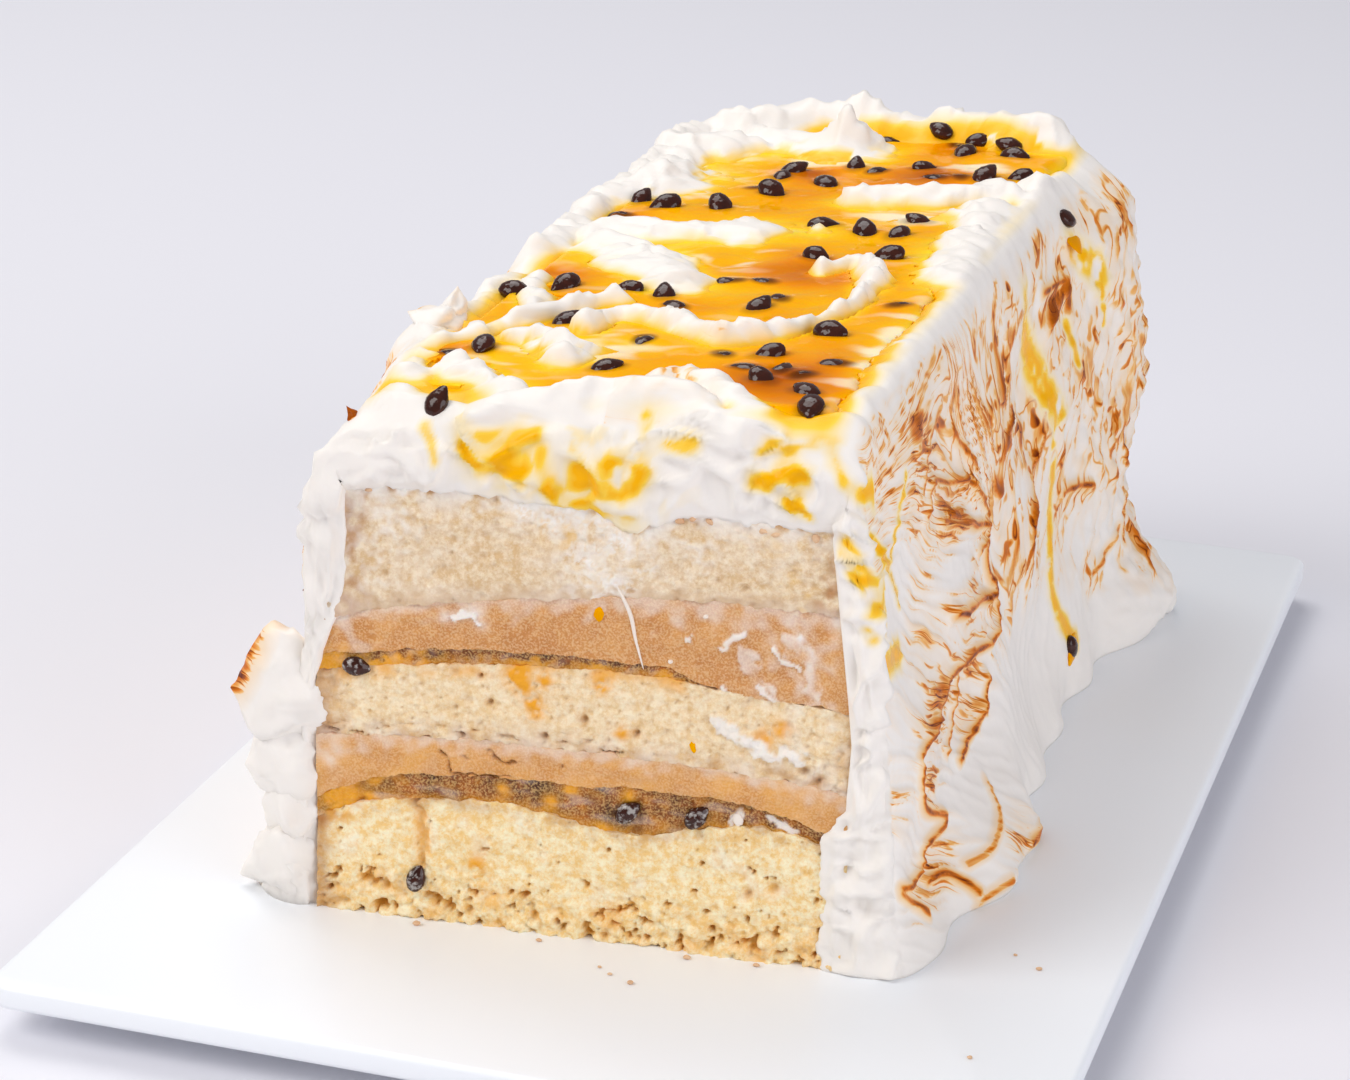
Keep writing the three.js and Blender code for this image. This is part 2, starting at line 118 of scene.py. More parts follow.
def stored(tree, name):
    """A mask that was stored on the points, or 0 on a piece without it."""
    return node(tree, "ShaderNodeAttribute", attribute_name=name).outputs["Fac"]


def noise(tree, place, size, detail, **more):
    """Cloudy noise from 0 to 1, with patches of about a size in mm."""
    inputs = {"Vector": place, "Scale": 1 / (size * MM), "Detail": detail, **more}
    return node(tree, "ShaderNodeTexNoise", inputs).outputs["Fac"]


def maths(tree, operation, *values):
    """One step of reckoning with its values, such as ADD or MULTIPLY."""
    return node(tree, "ShaderNodeMath", dict(enumerate(values)), operation=operation).outputs["Value"]


def ranged(tree, value, low, high, start=0.0, end=1.0):
    """Start below low, end above high, and a straight slope between."""
    inputs = {"Value": value, "From Min": low, "From Max": high, "To Min": start, "To Max": end}
    return node(tree, "ShaderNodeMapRange", inputs).outputs["Result"]


def blended(tree, share, first, second):
    """A mix of two colours, each a hex value or the output of another node."""
    first, second = (linear(c) if isinstance(c, str) else c for c in (first, second))
    made = node(tree, "ShaderNodeMix", {FACTOR: share, FIRST: first, SECOND: second}, data_type="RGBA")
    return made.outputs[MIXED]


def toned(tree, colour, steps):
    """Tones laid over a colour: each step is a value, the range it is read in and the tone."""
    for value, low, high, tone in steps:
        colour = blended(tree, ranged(tree, value, low, high), colour, tone)
    return colour


def set_inputs(shader, values):
    """Sets some of a shader's inputs to plain values."""
    for name, value in values.items():
        shader.inputs[name].default_value = value


def set_surface(tree, shader, colour, height, strength, depth):
    """Gives the shader a colour and a bumpy skin, with the depth of its bumps in mm."""
    tree.links.new(colour, shader.inputs["Base Color"])
    skin = node(tree, "ShaderNodeBump", {"Height": height, "Strength": strength, "Distance": depth * MM})
    tree.links.new(skin.outputs["Normal"], shader.inputs["Normal"])


# %% [markdown]
# ## Floor and light
# A plain pale table under a very large soft light from the left and a weaker one from the right,
# as in a small studio. The shadows then fall softly to the right of the loaf. The view transform
# is set to Standard, which keeps whites clean and yellows clear.

# %% Floor
def fresh():
    """Leaves edit mode and selects nothing, so the next operator touches only its own piece."""
    if bpy.context.mode != "OBJECT":
        bpy.ops.object.mode_set(mode="OBJECT")
    bpy.ops.object.select_all(action="DESELECT")


fresh()
bpy.ops.mesh.primitive_plane_add(size=12)
floor = bpy.context.object
floor.name = "floor"
table_white, _, shader = new_material("White table top")
set_inputs(shader, {"Base Color": linear("EBEAF0"), "Roughness": 0.45})
floor.data.materials.append(table_white)

# %% Lights
def soft_light(name, place, aim, size, power, colour):
    """A square area light at a place, turned towards another."""
    fresh()
    bpy.ops.object.light_add(type="AREA", location=place)
    light = bpy.context.object
    light.name = name
    light.data.size = size
    light.data.energy = power
    light.data.color = linear(colour)[:3]
    light.rotation_mode = "QUATERNION"
    light.rotation_quaternion = (Vector(aim) - Vector(place)).to_track_quat("-Z", "Y")


soft_light("window_left", (-1.2, -1.1, 1.4), (0, 0, 0.05), 1.2, 23, "FFFDFA")
soft_light("fill_right", (1.6, -0.9, 0.7), (0, 0, 0.06), 1.4, 17, "FAFAFF")
soft_light("sky_over", (-0.6, 0.6, 1.6), (0, 0, 0.05), 1.2, 14.5, "FFFFFF")
world = bpy.data.worlds.new("pale room")
bpy.context.scene.world = world
world.use_nodes = True
set_inputs(world.node_tree.nodes["Background"], {"Color": linear("EEEFF6"), "Strength": 0.33})
bpy.context.scene.view_settings.view_transform = "Standard"

# %% [markdown]
# ## Reading and moving points
# Every piece starts from a primitive. Its points are read into an array in millimetres, with
# heights over the board's top, moved all at once, and written back. That is a sculpting brush that
# knows the sizes.

# %% Points
BOARD_TOP = 10.0


def points(piece):
    """The piece's points in mm, one row each, with heights over the board's top."""
    flat = np.empty(3 * len(piece.data.vertices))
    piece.data.vertices.foreach_get("co", flat)
    return flat.reshape(-1, 3) / MM - (0, 0, BOARD_TOP)


def set_points(piece, places):
    """Writes places in mm over the board back to the piece."""
    piece.data.vertices.foreach_set("co", ((places + (0, 0, BOARD_TOP)) * MM).ravel())
    piece.data.update()


def set_mask(piece, name, values, most=1):
    """Stores one number from 0 to most for each point, for a material to read."""
    mask = piece.data.attributes.new(name, "FLOAT", "POINT")
    mask.data.foreach_set("value", np.clip(values, 0, most).astype(np.float32))


def put_on(piece, name, material, slot, *nodes):
    """Names a finished piece, gives it its finish and lets it stand for its CAD nodes."""
    fresh()
    piece.name = piece.data.name = name
    piece.data.materials.clear()
    piece.data.materials.append(material)
    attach(piece, "root")
    if nodes:
        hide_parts(*nodes)
    box = np.array([points(piece).min(0), points(piece).max(0)]).round(1).tolist()
    print(name, len(piece.data.polygons), "faces, mm over the board", box)


# %% [markdown]
# ## Unevenness
# Food has no two places alike. Two kinds of unevenness make nearly all of it. Smooth bumps come
# from numbers thrown at the corners of a grid and blended between them. Pits come from dots
# scattered one to a cell, and the distance to the nearest dot. Both are made from the place alone,
# so each run gives the same cake.

# %% Bumps and pits
def dice(cell, salt):
    """A number from 0 to 1 for each whole-number cell."""
    mixed = cell[..., 0] * 374761393 + cell[..., 1] * 668265263 + cell[..., 2] * 1274126177
    mixed = (mixed + salt * 974634777) & 0xFFFFFFFF
    mixed = ((mixed ^ (mixed >> 15)) * 739982445) & 0xFFFFFFFF
    mixed = ((mixed ^ (mixed >> 12)) * 695872825) & 0xFFFFFFFF
    return (mixed ^ (mixed >> 15)) / 0xFFFFFFFF


def bumps(places, size, salt=0):
    """Smooth bumps from about -1 to 1. The size in mm is one number or one for each axis."""
    scaled = places / size
    corner = np.floor(scaled).astype(np.int64)
    inside = scaled - corner
    fade = inside * inside * inside * (inside * (inside * 6 - 15) + 10)
    total = np.zeros(len(places))
    for step in np.ndindex(2, 2, 2):
        share = np.prod(np.where(step, fade, 1 - fade), axis=1)
        lean = sum((2 * dice(corner + step, 3 * salt + k) - 1) * (inside - step)[:, k] for k in range(3))
        total += share * lean
    return 1.6 * total


def pits(places, size, share, salt=0):
    """How deep each point lies in a pit, from 0 to 1. Only a share of the scattered dots are pits."""
    scaled = places / size
    home = np.floor(scaled).astype(np.int64)
    depth = np.zeros(len(places))
    for step in np.ndindex(3, 3, 3):
        cell = home + np.array(step) - 1
        token = dice(cell, salt)
        dot = cell + np.stack([dice(cell, salt + k) for k in (1, 2, 3)], axis=1)
        away = np.linalg.norm(scaled - dot, axis=1)
        radius = 0.22 + 0.4 * token / share
        depth = np.maximum(depth, np.where(token < share, 1 - away / radius, 0))
    return depth


def step_up(values, low, high):
    """0 below low, 1 above high and a soft slope between."""
    t = np.clip((values - low) / (high - low), 0, 1)
    return t * t * (3 - 2 * t)


def patchy(places, size, salt, low, high):
    """Patches from 0 to 1: where the bumps rise from low to high."""
    return step_up(bumps(places, size, salt), low, high)


def thin_edges(places, size, salt, low=0.7):
    """Thin edges: 1 along the lines where the bumps pass through 0, fading to both sides."""
    return step_up(1 - np.abs(bumps(places, size, salt)), low, 1)


def shifts(places, size, salt, axes=3):
    """How far smooth bumps push each place about, along its first axes."""
    return np.stack([bumps(places, size, salt + k) for k in range(axes)], axis=1)


def mound(first, second, centre, reach):
    """1 at a centre, fading over its reach in two directions."""
    return np.exp(-((first - centre[0]) / reach[0]) ** 2 - ((second - centre[1]) / reach[1]) ** 2)


# %% [markdown]
# ## Smooth ways
# Ridges, strokes, cracks and drips all follow lines that a hand drew with a spatula. A line is a
# few places, rounded into a smooth way, and each point asks how far away the way is.

# %% Ways
def smooth_way(places, steps=8):
    """A smooth line through some places, by Catmull-Rom."""
    knots = np.array([places[0], *places, places[-1]], float)
    t = np.linspace(0, 1, steps, endpoint=False)[:, None]
    line = []
    for before, start, end, after in zip(knots, knots[1:], knots[2:], knots[3:]):
        line.append(0.5 * (2 * start + (end - before) * t
                           + (2 * before - 5 * start + 4 * end - after) * t ** 2
                           + (3 * start - before - 3 * end + after) * t ** 3))
    return np.vstack([*line, knots[-1:]])


def away_from(way, spots):
    """Distance from each spot to a way, both in the same two directions."""
    nearest = np.full(len(spots), 1e9)
    for start, end in zip(way, way[1:]):
        run = end - start
        share = np.clip((spots - start) @ run / max(run @ run, 1e-9), 0, 1)
        nearest = np.minimum(nearest, np.linalg.norm(spots - start - share[:, None] * run, axis=1))
    return nearest


# %% [markdown]
# ## Serving board
# The board is moulded melamine: a thin slab with soft edges on a lower foot that is set in all
# round. Two cubes are scaled to the slab and the foot, their upright corners are bevelled, the
# slab's rims too, and the two are joined into one piece.

# %% Board
BOARD_SIZE = (180, 296, 4.5)
BOARD_CORNER = 5
BOARD_RIM = 1.2
FOOT_HEIGHT = 5.5
FOOT_INSET = 14


def select_edges(piece, test):
    """In edit mode, selects the edges whose direction passes a test."""
    bpy.ops.mesh.select_all(action="DESELECT")
    bpy.ops.mesh.select_mode(type="EDGE")
    bpy.ops.object.mode_set(mode="OBJECT")
    for edge in piece.data.edges:
        start, end = (piece.data.vertices[i].co for i in edge.vertices)
        edge.select = test((end - start).normalized())
    bpy.ops.object.mode_set(mode="EDIT")


def rounded_box(size, floor_height):
    """A box in mm that stands at a height, with its upright corners rounded, left in edit mode."""
    fresh()
    bpy.ops.mesh.primitive_cube_add(size=1, location=(0, 0, (floor_height + size[2] / 2) * MM))
    box = bpy.context.object
    box.scale = Vector(size) * MM
    bpy.ops.object.transform_apply(location=True, rotation=True, scale=True)
    bpy.ops.object.mode_set(mode="EDIT")
    select_edges(box, lambda run: abs(run.z) > 0.9)
    bpy.ops.mesh.bevel(offset=BOARD_CORNER * MM, segments=6)
    return box


# The foot reaches 1 mm up into the slab.
foot = rounded_box((BOARD_SIZE[0] - 2 * FOOT_INSET, BOARD_SIZE[1] - 2 * FOOT_INSET, FOOT_HEIGHT + 1), 0)
board = rounded_box(BOARD_SIZE, FOOT_HEIGHT)
select_edges(board, lambda run: abs(run.z) < 0.1)
bpy.ops.mesh.bevel(offset=BOARD_RIM * MM, segments=4)
fresh()
foot.select_set(True)
board.select_set(True)
bpy.context.view_layer.objects.active = board
bpy.ops.object.join()
fresh()
board.select_set(True)
bpy.ops.object.shade_smooth_by_angle(angle=math.radians(40))

# %% Board material
# Melamine: hard moulded white plastic. It gives a soft, low gloss and hardly any colour.
melamine, tree, shader = new_material("White melamine, moulded satin")
place = own_place(tree)
white = blended(tree, noise(tree, place, 40, 3.0), "F4F7FB", "F7FAFE")
set_surface(tree, shader, white, noise(tree, place, 1.2, 2.0), 0.04, 0.1)
set_inputs(shader, {"Roughness": 0.34, "IOR": 1.5})
put_on(board, "serving_board", melamine, "board", "board")

# %% [markdown]
# ## Levels in the cut block
# The block was built in a loaf tin, layer on layer, and then cut a little askew. `across` runs from
# -1 at the left wall to 1 at the right one. Each level is the face between two layers, with the
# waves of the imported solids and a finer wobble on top, as a spoon leaves it.

# %% Levels
BLOCK_CENTRE = -2.5
BLOCK_HEIGHT = 80
BLOCK_BACK = 110
# The gap that the meringue coat keeps to the block, and the height of the coat's inner top.
COAT_GAP = 0.3
CROWN = BLOCK_HEIGHT + COAT_GAP
CUT_FRONT = -96.5
CUT_SLOPE = math.tan(math.radians(4.4))
CURD_END = 0.43


def block_half(height):
    """Half the block's width at a height: foot, belly and crown."""
    return np.interp(height, (0, 42, BLOCK_HEIGHT), (46.5, 47, 41.7))


def cut_at(x):
    """Where the cut lies along the loaf, at a place across."""
    return CUT_FRONT + (x - BLOCK_CENTRE) * CUT_SLOPE


def sway(across, size):
    """A slow wave along a level, up to a size in mm."""
    return size * np.sin(CUT_FRONT / 31 + 2 * across) * np.cos(CUT_FRONT / 57 - across)


def level(number, across):
    """Height of a face between two layers at the cut."""
    pocket = 4.3 * np.exp(-((across - 0.2) / 0.28) ** 2)
    curd_here = 1 - step_up(across, 0.3, CURD_END + 0.06)
    wedge = (2.2 - 0.8 * across) * curd_here
    crown_of_middle = 49 + 2.2 * across - 4.5 * across ** 2 + sway(across, 0.7)
    crown_of_middle = crown_of_middle + (1.2 - 0.5 * across) * curd_here
    heights = (
        0 * across,
        24.5 + 2 * across - 6 * across ** 4 - pocket + sway(across, 0.8),
        28.8 + 1.2 * across - 7.5 * across ** 4 + sway(across, 0.8),
        35.2 - 2.9 * across ** 2 + sway(across, 0.6),
        crown_of_middle,
        crown_of_middle + wedge,
        63.1 + 5.1 * across - 4.1 * across ** 2 + sway(across, 0.6),
        0 * across + BLOCK_HEIGHT,
    )
    if number in (0, len(heights) - 1):
        return heights[number]
    line = np.stack([47 * across, 0 * across, 0 * across + 9 * number], axis=1)
    wobble = 0.45 * bumps(line, 7, number) + 0.35 * bumps(line, 2.2, number + 20)
    return heights[number] + wobble + 0.22 * bumps(line, 0.8, number + 40)


def lip_droop(x):
    """How far the soft lip of meringue hangs down over the top of the cut, at a place across."""
    return np.interp(x, (-44, -37, -25, -20, -15, -4, 0, 5, 8.6, 13.6, 19, 27, 39),
                     (2.3, 1.2, 0.8, 0.8, 1.2, 1.2, 2.0, 4.8, 3.4, 1.2, 0.7, 0.8, 0.9))


print("levels in the middle of the cut:", [round(float(level(k, np.zeros(1))[0]), 1) for k in range(8)])

# %% [markdown]
# ## A layer, from its cut face back
# Only the cut end of a layer can be seen. So a layer starts as a fine grid that is laid on the cut
# between two levels and gets its relief. Then its rim is extruded back along the loaf, flattened on
# the back plane and closed with one face.

# %% Layer helper
CELL = 0.36


def lay_grid(bottom, top, end=1.0):
    """A grid on the cut between two levels: the piece, its places and its share of the height."""
    fresh()
    samples = np.linspace(-1, end, 50)
    thickest = float(np.max(level(top, samples) - level(bottom, samples)))
    cells_across = round((end + 1) * block_half(40) / CELL)
    cells_up = round(thickest / CELL)
    bpy.ops.mesh.primitive_grid_add(x_subdivisions=cells_across, y_subdivisions=cells_up, size=2)
    piece = bpy.context.object
    square = (points(piece) * MM)[:, :2]
    across = (square[:, 0] + 1) / 2 * (end + 1) - 1
    share = (square[:, 1] + 1) / 2
    low, high = level(bottom, across), level(top, across)
    height = low + (high - low) * share
    x = BLOCK_CENTRE + across * block_half(height)
    return piece, np.stack([x, cut_at(x), height], axis=1), share


def run_back(piece, places, relief, masks):
    """Pushes the grid out by its relief, stores its masks and extrudes it to the loaf's back."""
    set_points(piece, places - relief[:, None] * (0, 1, 0))
    for name, values in masks.items():
        set_mask(piece, name, values)
    bpy.ops.object.mode_set(mode="EDIT")
    bpy.ops.mesh.select_all(action="SELECT")
    bpy.ops.mesh.region_to_loop()
    bpy.ops.mesh.extrude_region_move(TRANSFORM_OT_translate={"value": (0, 0.15, 0)})
    bpy.ops.transform.resize(value=(1, 0, 1), center_override=(0, BLOCK_BACK * MM, 0))
    bpy.ops.mesh.edge_face_add()
    bpy.ops.mesh.select_all(action="SELECT")
    bpy.ops.mesh.normals_make_consistent(inside=False)
    fresh()
    piece.select_set(True)
    bpy.ops.object.shade_smooth_by_angle(angle=math.radians(70))


def spots(places, centres, reach):
    """Soft spots in the cut face: 1 at each centre x, height, fading over its reach in mm."""
    total = np.zeros(len(places))
    for (x, z), size in zip(centres, reach):
        total = np.maximum(total, mound(places[:, 0], places[:, 2], (x, z), (size, size)))
    return total


def dragged_over(places, half, ways, salt):
    """Thin meringue that the knife dragged over the cut along some ways: 1 where it covers."""
    crooked = places[:, [0, 2]] + 0.9 * shifts(places, 1.7, salt, 2)
    cover = np.max([np.exp(-(away_from(smooth_way(way), crooked) / half) ** 2) for way in ways], axis=0)
    return step_up(cover + 0.45 * bumps(places, 1.3, salt + 2), 0.42, 0.75)


# %% [markdown]
# ## Sponge finish
# Sponge is a foam of egg and flour. Its crumb is matt and lets a little light in, its pits get a deeper
# colour as painted shade, and syrup stains it amber. Masks on the points say where the painted pit
# shade, stains, crust and cream lie, and the material only gives each its colour.

# %% Sponge materials
def sponge_material(name, crumb, crumb_light, pit, stain, gloss):
    """Crumb in two tones, with painted shade in its pits, amber stains, browned crust and smears of cream."""
    material, tree, shader = new_material(name)
    place = own_place(tree)
    mottle = noise(tree, place, 1.7, 6.0, Roughness=0.75)
    colour = blended(tree, ranged(tree, mottle, 0.4, 0.6), crumb, crumb_light)
    # Pits and hollows of the crumb get a deeper colour here, as painted shade.
    for mask, tone in (("pit", pit), ("stain", stain), ("crust", "B5793F"), ("cream", "F6EFE6")):
        colour = blended(tree, stored(tree, mask), colour, tone)
    set_surface(tree, shader, colour, noise(tree, place, 0.7, 4.0), 0.7, 0.4)
    set_inputs(shader, {"Roughness": gloss, "Subsurface Weight": 0.08, "Subsurface Scale": 0.8 * MM,
                        "Subsurface Radius": (1.0, 0.6, 0.3)})
    return material


# The fourth colour of each sponge is the painted shade in its pits.
open_sponge = sponge_material(
    "Golden butter sponge, open crumb", "F6CE86", "FFF2CC", "E6AC44", "F2A618", 0.75)
close_sponge = sponge_material(
    "Golden butter sponge, close crumb", "EDCC99", "FBE8C6", "C68D3C", "F2A619", 0.75)
soaked_sponge = sponge_material(
    "Sponge soaked in milk", "DCB886", "F4DFBE", "C4975C", "F0BC48", 0.34)

# %% [markdown]
# ## Bottom sponge
# The lowest sponge carries the loaf. Its crumb is fine near the curd and torn into crags near the
# board, a slit runs down to a seed at the left, and syrup has soaked in beside it. Wide hollows come
# from three sizes of bumps, small pits from scattered dots, and both are pushed into the grid.

# %% Bottom sponge
piece, places, _ = lay_grid(0, 1)
crags = 1 - step_up(places[:, 2] + 2.5 * bumps(places, 7, 43), 3, 12)
crumbs = bumps(places, 1.9, 61) + 0.7 * bumps(places, 0.9, 62)
hollow = bumps(places, (3.4, 3.4, 2.6), 11) + 0.7 * bumps(places, 1.5, 13) + 0.4 * bumps(places, 0.8, 15)
coarse = step_up(-hollow, 0.75 - 0.5 * crags, 1.15 - 0.5 * crags)
fine = pits(places, 1.2, 0.2, 31)
holes = spots(places, [(-36.7, 5.4), (-37.3, 2.2), (-9.9, 3.5), (2.6, 1), (31.9, 13.9), (27.4, 12.2),
                       (21.2, 1.8), (-21.7, 2.7), (7.1, 7.4)],
              [1.6, 1.2, 1.3, 1.2, 1.6, 1.4, 1.3, 1.1, 1.0]) ** 2
slit_line = smooth_way([(-32.2, 23.5), (-30.8, 19.5), (-30.3, 15.2), (-30.4, 10.5)])
slit = np.exp(-(away_from(slit_line, places[:, [0, 2]] + 0.6 * crumbs[:, None]) / 1.1) ** 2)
relief = 0.5 * bumps(places, 6, 51) + (0.18 + 0.4 * crags) * crumbs
relief += 0.7 * crags * hollow - 1.3 * coarse - 0.5 * fine - 1.5 * holes - 1.5 * slit
syrup = spots(places, [(-20.5, 11.5), (-18.5, 13.5), (-46, 19), (-19.5, 9.5)], [2.2, 1.5, 3, 1.5])
under_curd = level(1, (places[:, 0] - BLOCK_CENTRE) / 46.5) - places[:, 2]
caramel = np.exp(-(under_curd / 2.2) ** 2) * step_up(bumps(places, 2.5, 93) + 0.4 * crumbs, -0.5, 0.5)
left_edge = step_up(BLOCK_CENTRE - places[:, 0] + 1.5 * bumps(places, 3, 95), 41.5, 46.3)
run_back(piece, places, relief, {
    # Painted shade: the pits, holes and low crumb are darker.
    "pit": 0.85 * np.maximum(np.maximum(coarse, holes), 0.7 * fine)
           + step_up(-crumbs, 0.2, 1.0) * (0.25 + 0.2 * crags),
    # Syrup stains, with painted shade in the slit and a painted golden light in the crags.
    "stain": syrup * step_up(bumps(places, 1.6, 91) + crumbs, -0.4, 0.5) + 0.5 * slit
             + 0.35 * crags * patchy(places, 4.5, 81, -0.1, 0.5),
    "crust": 0.5 * caramel + 0.6 * left_edge,
    "cream": 0.25 * patchy(places, 5, 97, 0.2, 0.6) * (1 - crags),
})
put_on(piece, "bottom_sponge", open_sponge, "sponge_golden", "sponge_bottom")

# %% [markdown]
# ## Middle sponge
# The middle sponge is closer and paler, with a few dark holes, amber syrup that has run down out of
# the curd above it, and coarse crumb at its lower right end.

# %% Middle sponge
piece, places, share = lay_grid(3, 4)
across = (places[:, 0] - BLOCK_CENTRE) / 47
corner = spots(places, [(40, 34.5)], [7])
crumbs = bumps(places, 1.7, 161) + 0.7 * bumps(places, 0.85, 162)
coarse = pits(places, 2.6, 0.16, 111) * (0.6 + 0.6 * corner)
fine = pits(places, 1.0, 0.3, 131)
holes = spots(places, [(-20.3, 46.8), (-18.6, 42.1), (-23.4, 35.4), (-8.9, 37), (-2.1, 41), (38.1, 34.3),
                       (36, 36), (7, 39.5)],
              [0.8, 0.9, 1.0, 0.9, 1.2, 1.7, 1.2, 1.1]) ** 2
dashes = (1 - step_up(share, 0.04, 0.3)) * patchy(places, (2.6, 2.6, 0.9), 165, 0.3, 0.6)
dashes *= places[:, 0] < 12
relief = 0.35 * bumps(places, 6, 151) + (0.34 + 0.4 * corner) * crumbs
relief += -1.2 * coarse - 0.5 * fine - 1.6 * holes - 0.9 * dashes
syrup = spots(places, [(-13.5, 47), (-12.7, 46), (-11, 43), (-10.4, 41.5), (-9, 47.5), (4.5, 39.4),
                       (29, 41.7), (32.2, 43.5), (1, 47.5)],
              [2.2, 2.0, 1.9, 1.5, 1.6, 1.3, 1.8, 1.6, 1.5])
depth_under = level(4, across) - places[:, 2]
under_curd = (1 - step_up(depth_under, 0.3, 3.4)) * (places[:, 0] < 18)
smear_ways = [[(21, 43.6), (23.5, 42), (27, 40.4), (30, 38.6)], [(32.4, 39.3), (35, 38.3)]]
smeared = dragged_over(places, 1.7, smear_ways, 171)
relief += 0.6 * smeared
low_veil = (1 - step_up(share, 0.0, 0.4)) * patchy(places, 4, 195, -0.4, 0.4)
right_veil = step_up(places[:, 0], 22, 36) * patchy(places, 3, 197, -0.1, 0.5)
from_centre = np.where(across < 0, -46 * across + 3, 46 * across) + 2 * bumps(places, 3.4, 191)
sides = step_up(from_centre, 42, 47.5)
low_crust = np.exp(-(share / 0.18) ** 2) * step_up(bumps(places, 2.8, 193) + 0.3 * crumbs, -0.4, 0.5)
run_back(piece, places, relief, {
    # Painted shade darkens the pits, holes, low crumb and dashes; the mask also darkens the lower border.
    "pit": 0.75 * np.maximum(np.maximum(coarse, 0.7 * fine), holes) + 0.3 * step_up(-crumbs, 0.2, 1.0)
           + 0.2 * dashes + 0.25 * (1 - step_up(share + 0.2 * bumps(places, 2.5, 167), 0, 0.14)),
    "stain": 1.2 * syrup * step_up(crumbs, -0.9, 0.3)
             + 0.75 * under_curd * patchy(places, 5, 181, -0.45, 0.3),
    "crust": 0.6 * sides + 0.5 * low_crust,
    "cream": 0.4 * low_veil + 0.3 * right_veil + 0.9 * smeared,
})
put_on(piece, "middle_sponge", close_sponge, "sponge_golden", "sponge_middle")

# %% [markdown]
# ## Top sponge
# The top sponge has drunk the milk. Its crumb is pale and wet, its cells are round and shine a
# little, and a thin browned crust edges it at both sides and under the meringue.

# %% Top sponge
piece, places, share = lay_grid(6, 7)
crumbs = bumps(places, 1.8, 261) + 0.6 * bumps(places, 0.9, 262)
cells = pits(places, 1.9, 0.45, 211)
relief = 0.6 * bumps(places, 7, 251) + 0.26 * crumbs - 0.5 * cells
edge = step_up(np.abs(places[:, 0] - BLOCK_CENTRE), 36.5, 39.2 + 2.4 * (1 - share))
crown = step_up(places[:, 2], 77.2, 79.4)
flakes = step_up(bumps(places, 2.2, 271) + 0.3 * crumbs, -0.35, 0.4)
under_lip = np.maximum(CROWN - lip_droop(places[:, 0]) - places[:, 2], 0)
torn = bumps(places, 2.6, 275) + 0.4 * bumps(places, 1.1, 277)
lip_smear = np.exp(-under_lip / 3.4) * step_up(torn, -0.5, 0.2)
wash = spots(places, [(-13, 78), (-8, 76), (-1, 77), (3, 73), (-2, 70), (3, 66), (7, 70), (1, 63)],
             [3, 3, 4, 4, 4, 3.4, 3, 2.4])
wash *= step_up(bumps(places + 2 * crumbs[:, None], (2, 2, 5), 279), -0.25, 0.25)
milky = step_up(bumps(places, (12, 12, 6), 291) - 0.5 * (share - 0.4), -0.1, 0.6) * (0.6 + 0.4 * crumbs)
right_crown = 0.7 * crown * step_up(places[:, 0], 8, 14)
left_crown = np.exp(-(under_lip / 0.8) ** 2) * (places[:, 0] < -18)
amber = spots(places, [(-5, 74), (-9, 77), (2, 70), (33, 71), (30, 76), (35, 66)], [3, 3, 4, 2, 2, 2])
veil = spots(places, [(17, 72.7), (-2, 68), (-36, 72), (-42, 66)], [3.6, 5, 6, 6])
run_back(piece, places, relief, {
    # Painted shade darkens the cells and low crumb; the mask also darkens the lower border.
    "pit": 0.5 * cells + 0.2 * step_up(-crumbs, 0.2, 1.0)
           + 0.7 * (1 - step_up(share + 0.12 * bumps(places, 3, 283), 0.02, 0.17)),
    "stain": 0.6 * amber * patchy(places, 2.4, 281, -0.1, 0.4),
    "crust": flakes * (0.75 * np.maximum(edge, right_crown) + 0.8 * left_crown),
    "cream": 0.22 * milky + 0.55 * veil * step_up(crumbs, -0.5, 0.7) + 0.9 * lip_smear + 0.7 * wash
             + 0.2 * (1 - step_up(share, 0, 0.25)),
})
put_on(piece, "top_sponge", soaked_sponge, "sponge_soaked", "sponge_top")

# %% [markdown]
# ## Mousse and curd finish
# Both are frozen, so the cold cut is dusted with frost. Mousse is a dull caramel. Curd is dark and
# amber, with more and larger frost on it. The frost is fine grain in the colour and in the bump, and
# it is drawn a little coarser than real frost, so that it still shows in a picture.

# %% Mousse and curd materials
def frosted_material(name, deep, light, glow, frost, frost_share, gloss):
    """Two tones, amber glow where a mask says so, frost specks, painted crack shade and smears of cream."""
    material, tree, shader = new_material(name)
    place = own_place(tree)
    mottle = noise(tree, place, 6, 5.0, Roughness=0.65)
    colour = blended(tree, ranged(tree, mottle, 0.36, 0.64), deep, light)
    amber = stored(tree, "stain")
    colour = blended(tree, amber, colour, glow)
    grain = noise(tree, place, 0.38, 2.0)
    dusted = ranged(tree, amber, 0.0, 1.0, frost_share, 0.3 * frost_share)
    colour = blended(tree, ranged(tree, grain, 0.44, 0.6, end=dusted), colour, frost)
    # Cracks and pits are darkened here as painted shade.
    for mask, tone in (("crack", "8A5428"), ("cream", "F4ECE4")):
        colour = blended(tree, stored(tree, mask), colour, tone)
    set_surface(tree, shader, colour, grain, 0.5, 0.3)
    set_inputs(shader, {"Roughness": gloss, "Subsurface Weight": 0.15, "Subsurface Scale": 1.2 * MM,
                        "Subsurface Radius": (1.0, 0.5, 0.2)})
    return material


caramel_mousse = frosted_material(
    "Caramel mousse, frozen", "C48040", "DB9D5A", "F2B45C", "F4D2A4", 0.42, 0.6)
frosted_curd = frosted_material(
    "Passion fruit curd, frozen", "4A2000", "A85A04", "EAA00C", "F2C67E", 0.46, 0.45)

# %% [markdown]
# ## Lower curd and mousse
# The curd is a spoonful in the middle that thins out to the right. Cracks run along the lower
# mousse where the cold block gave way under the knife.

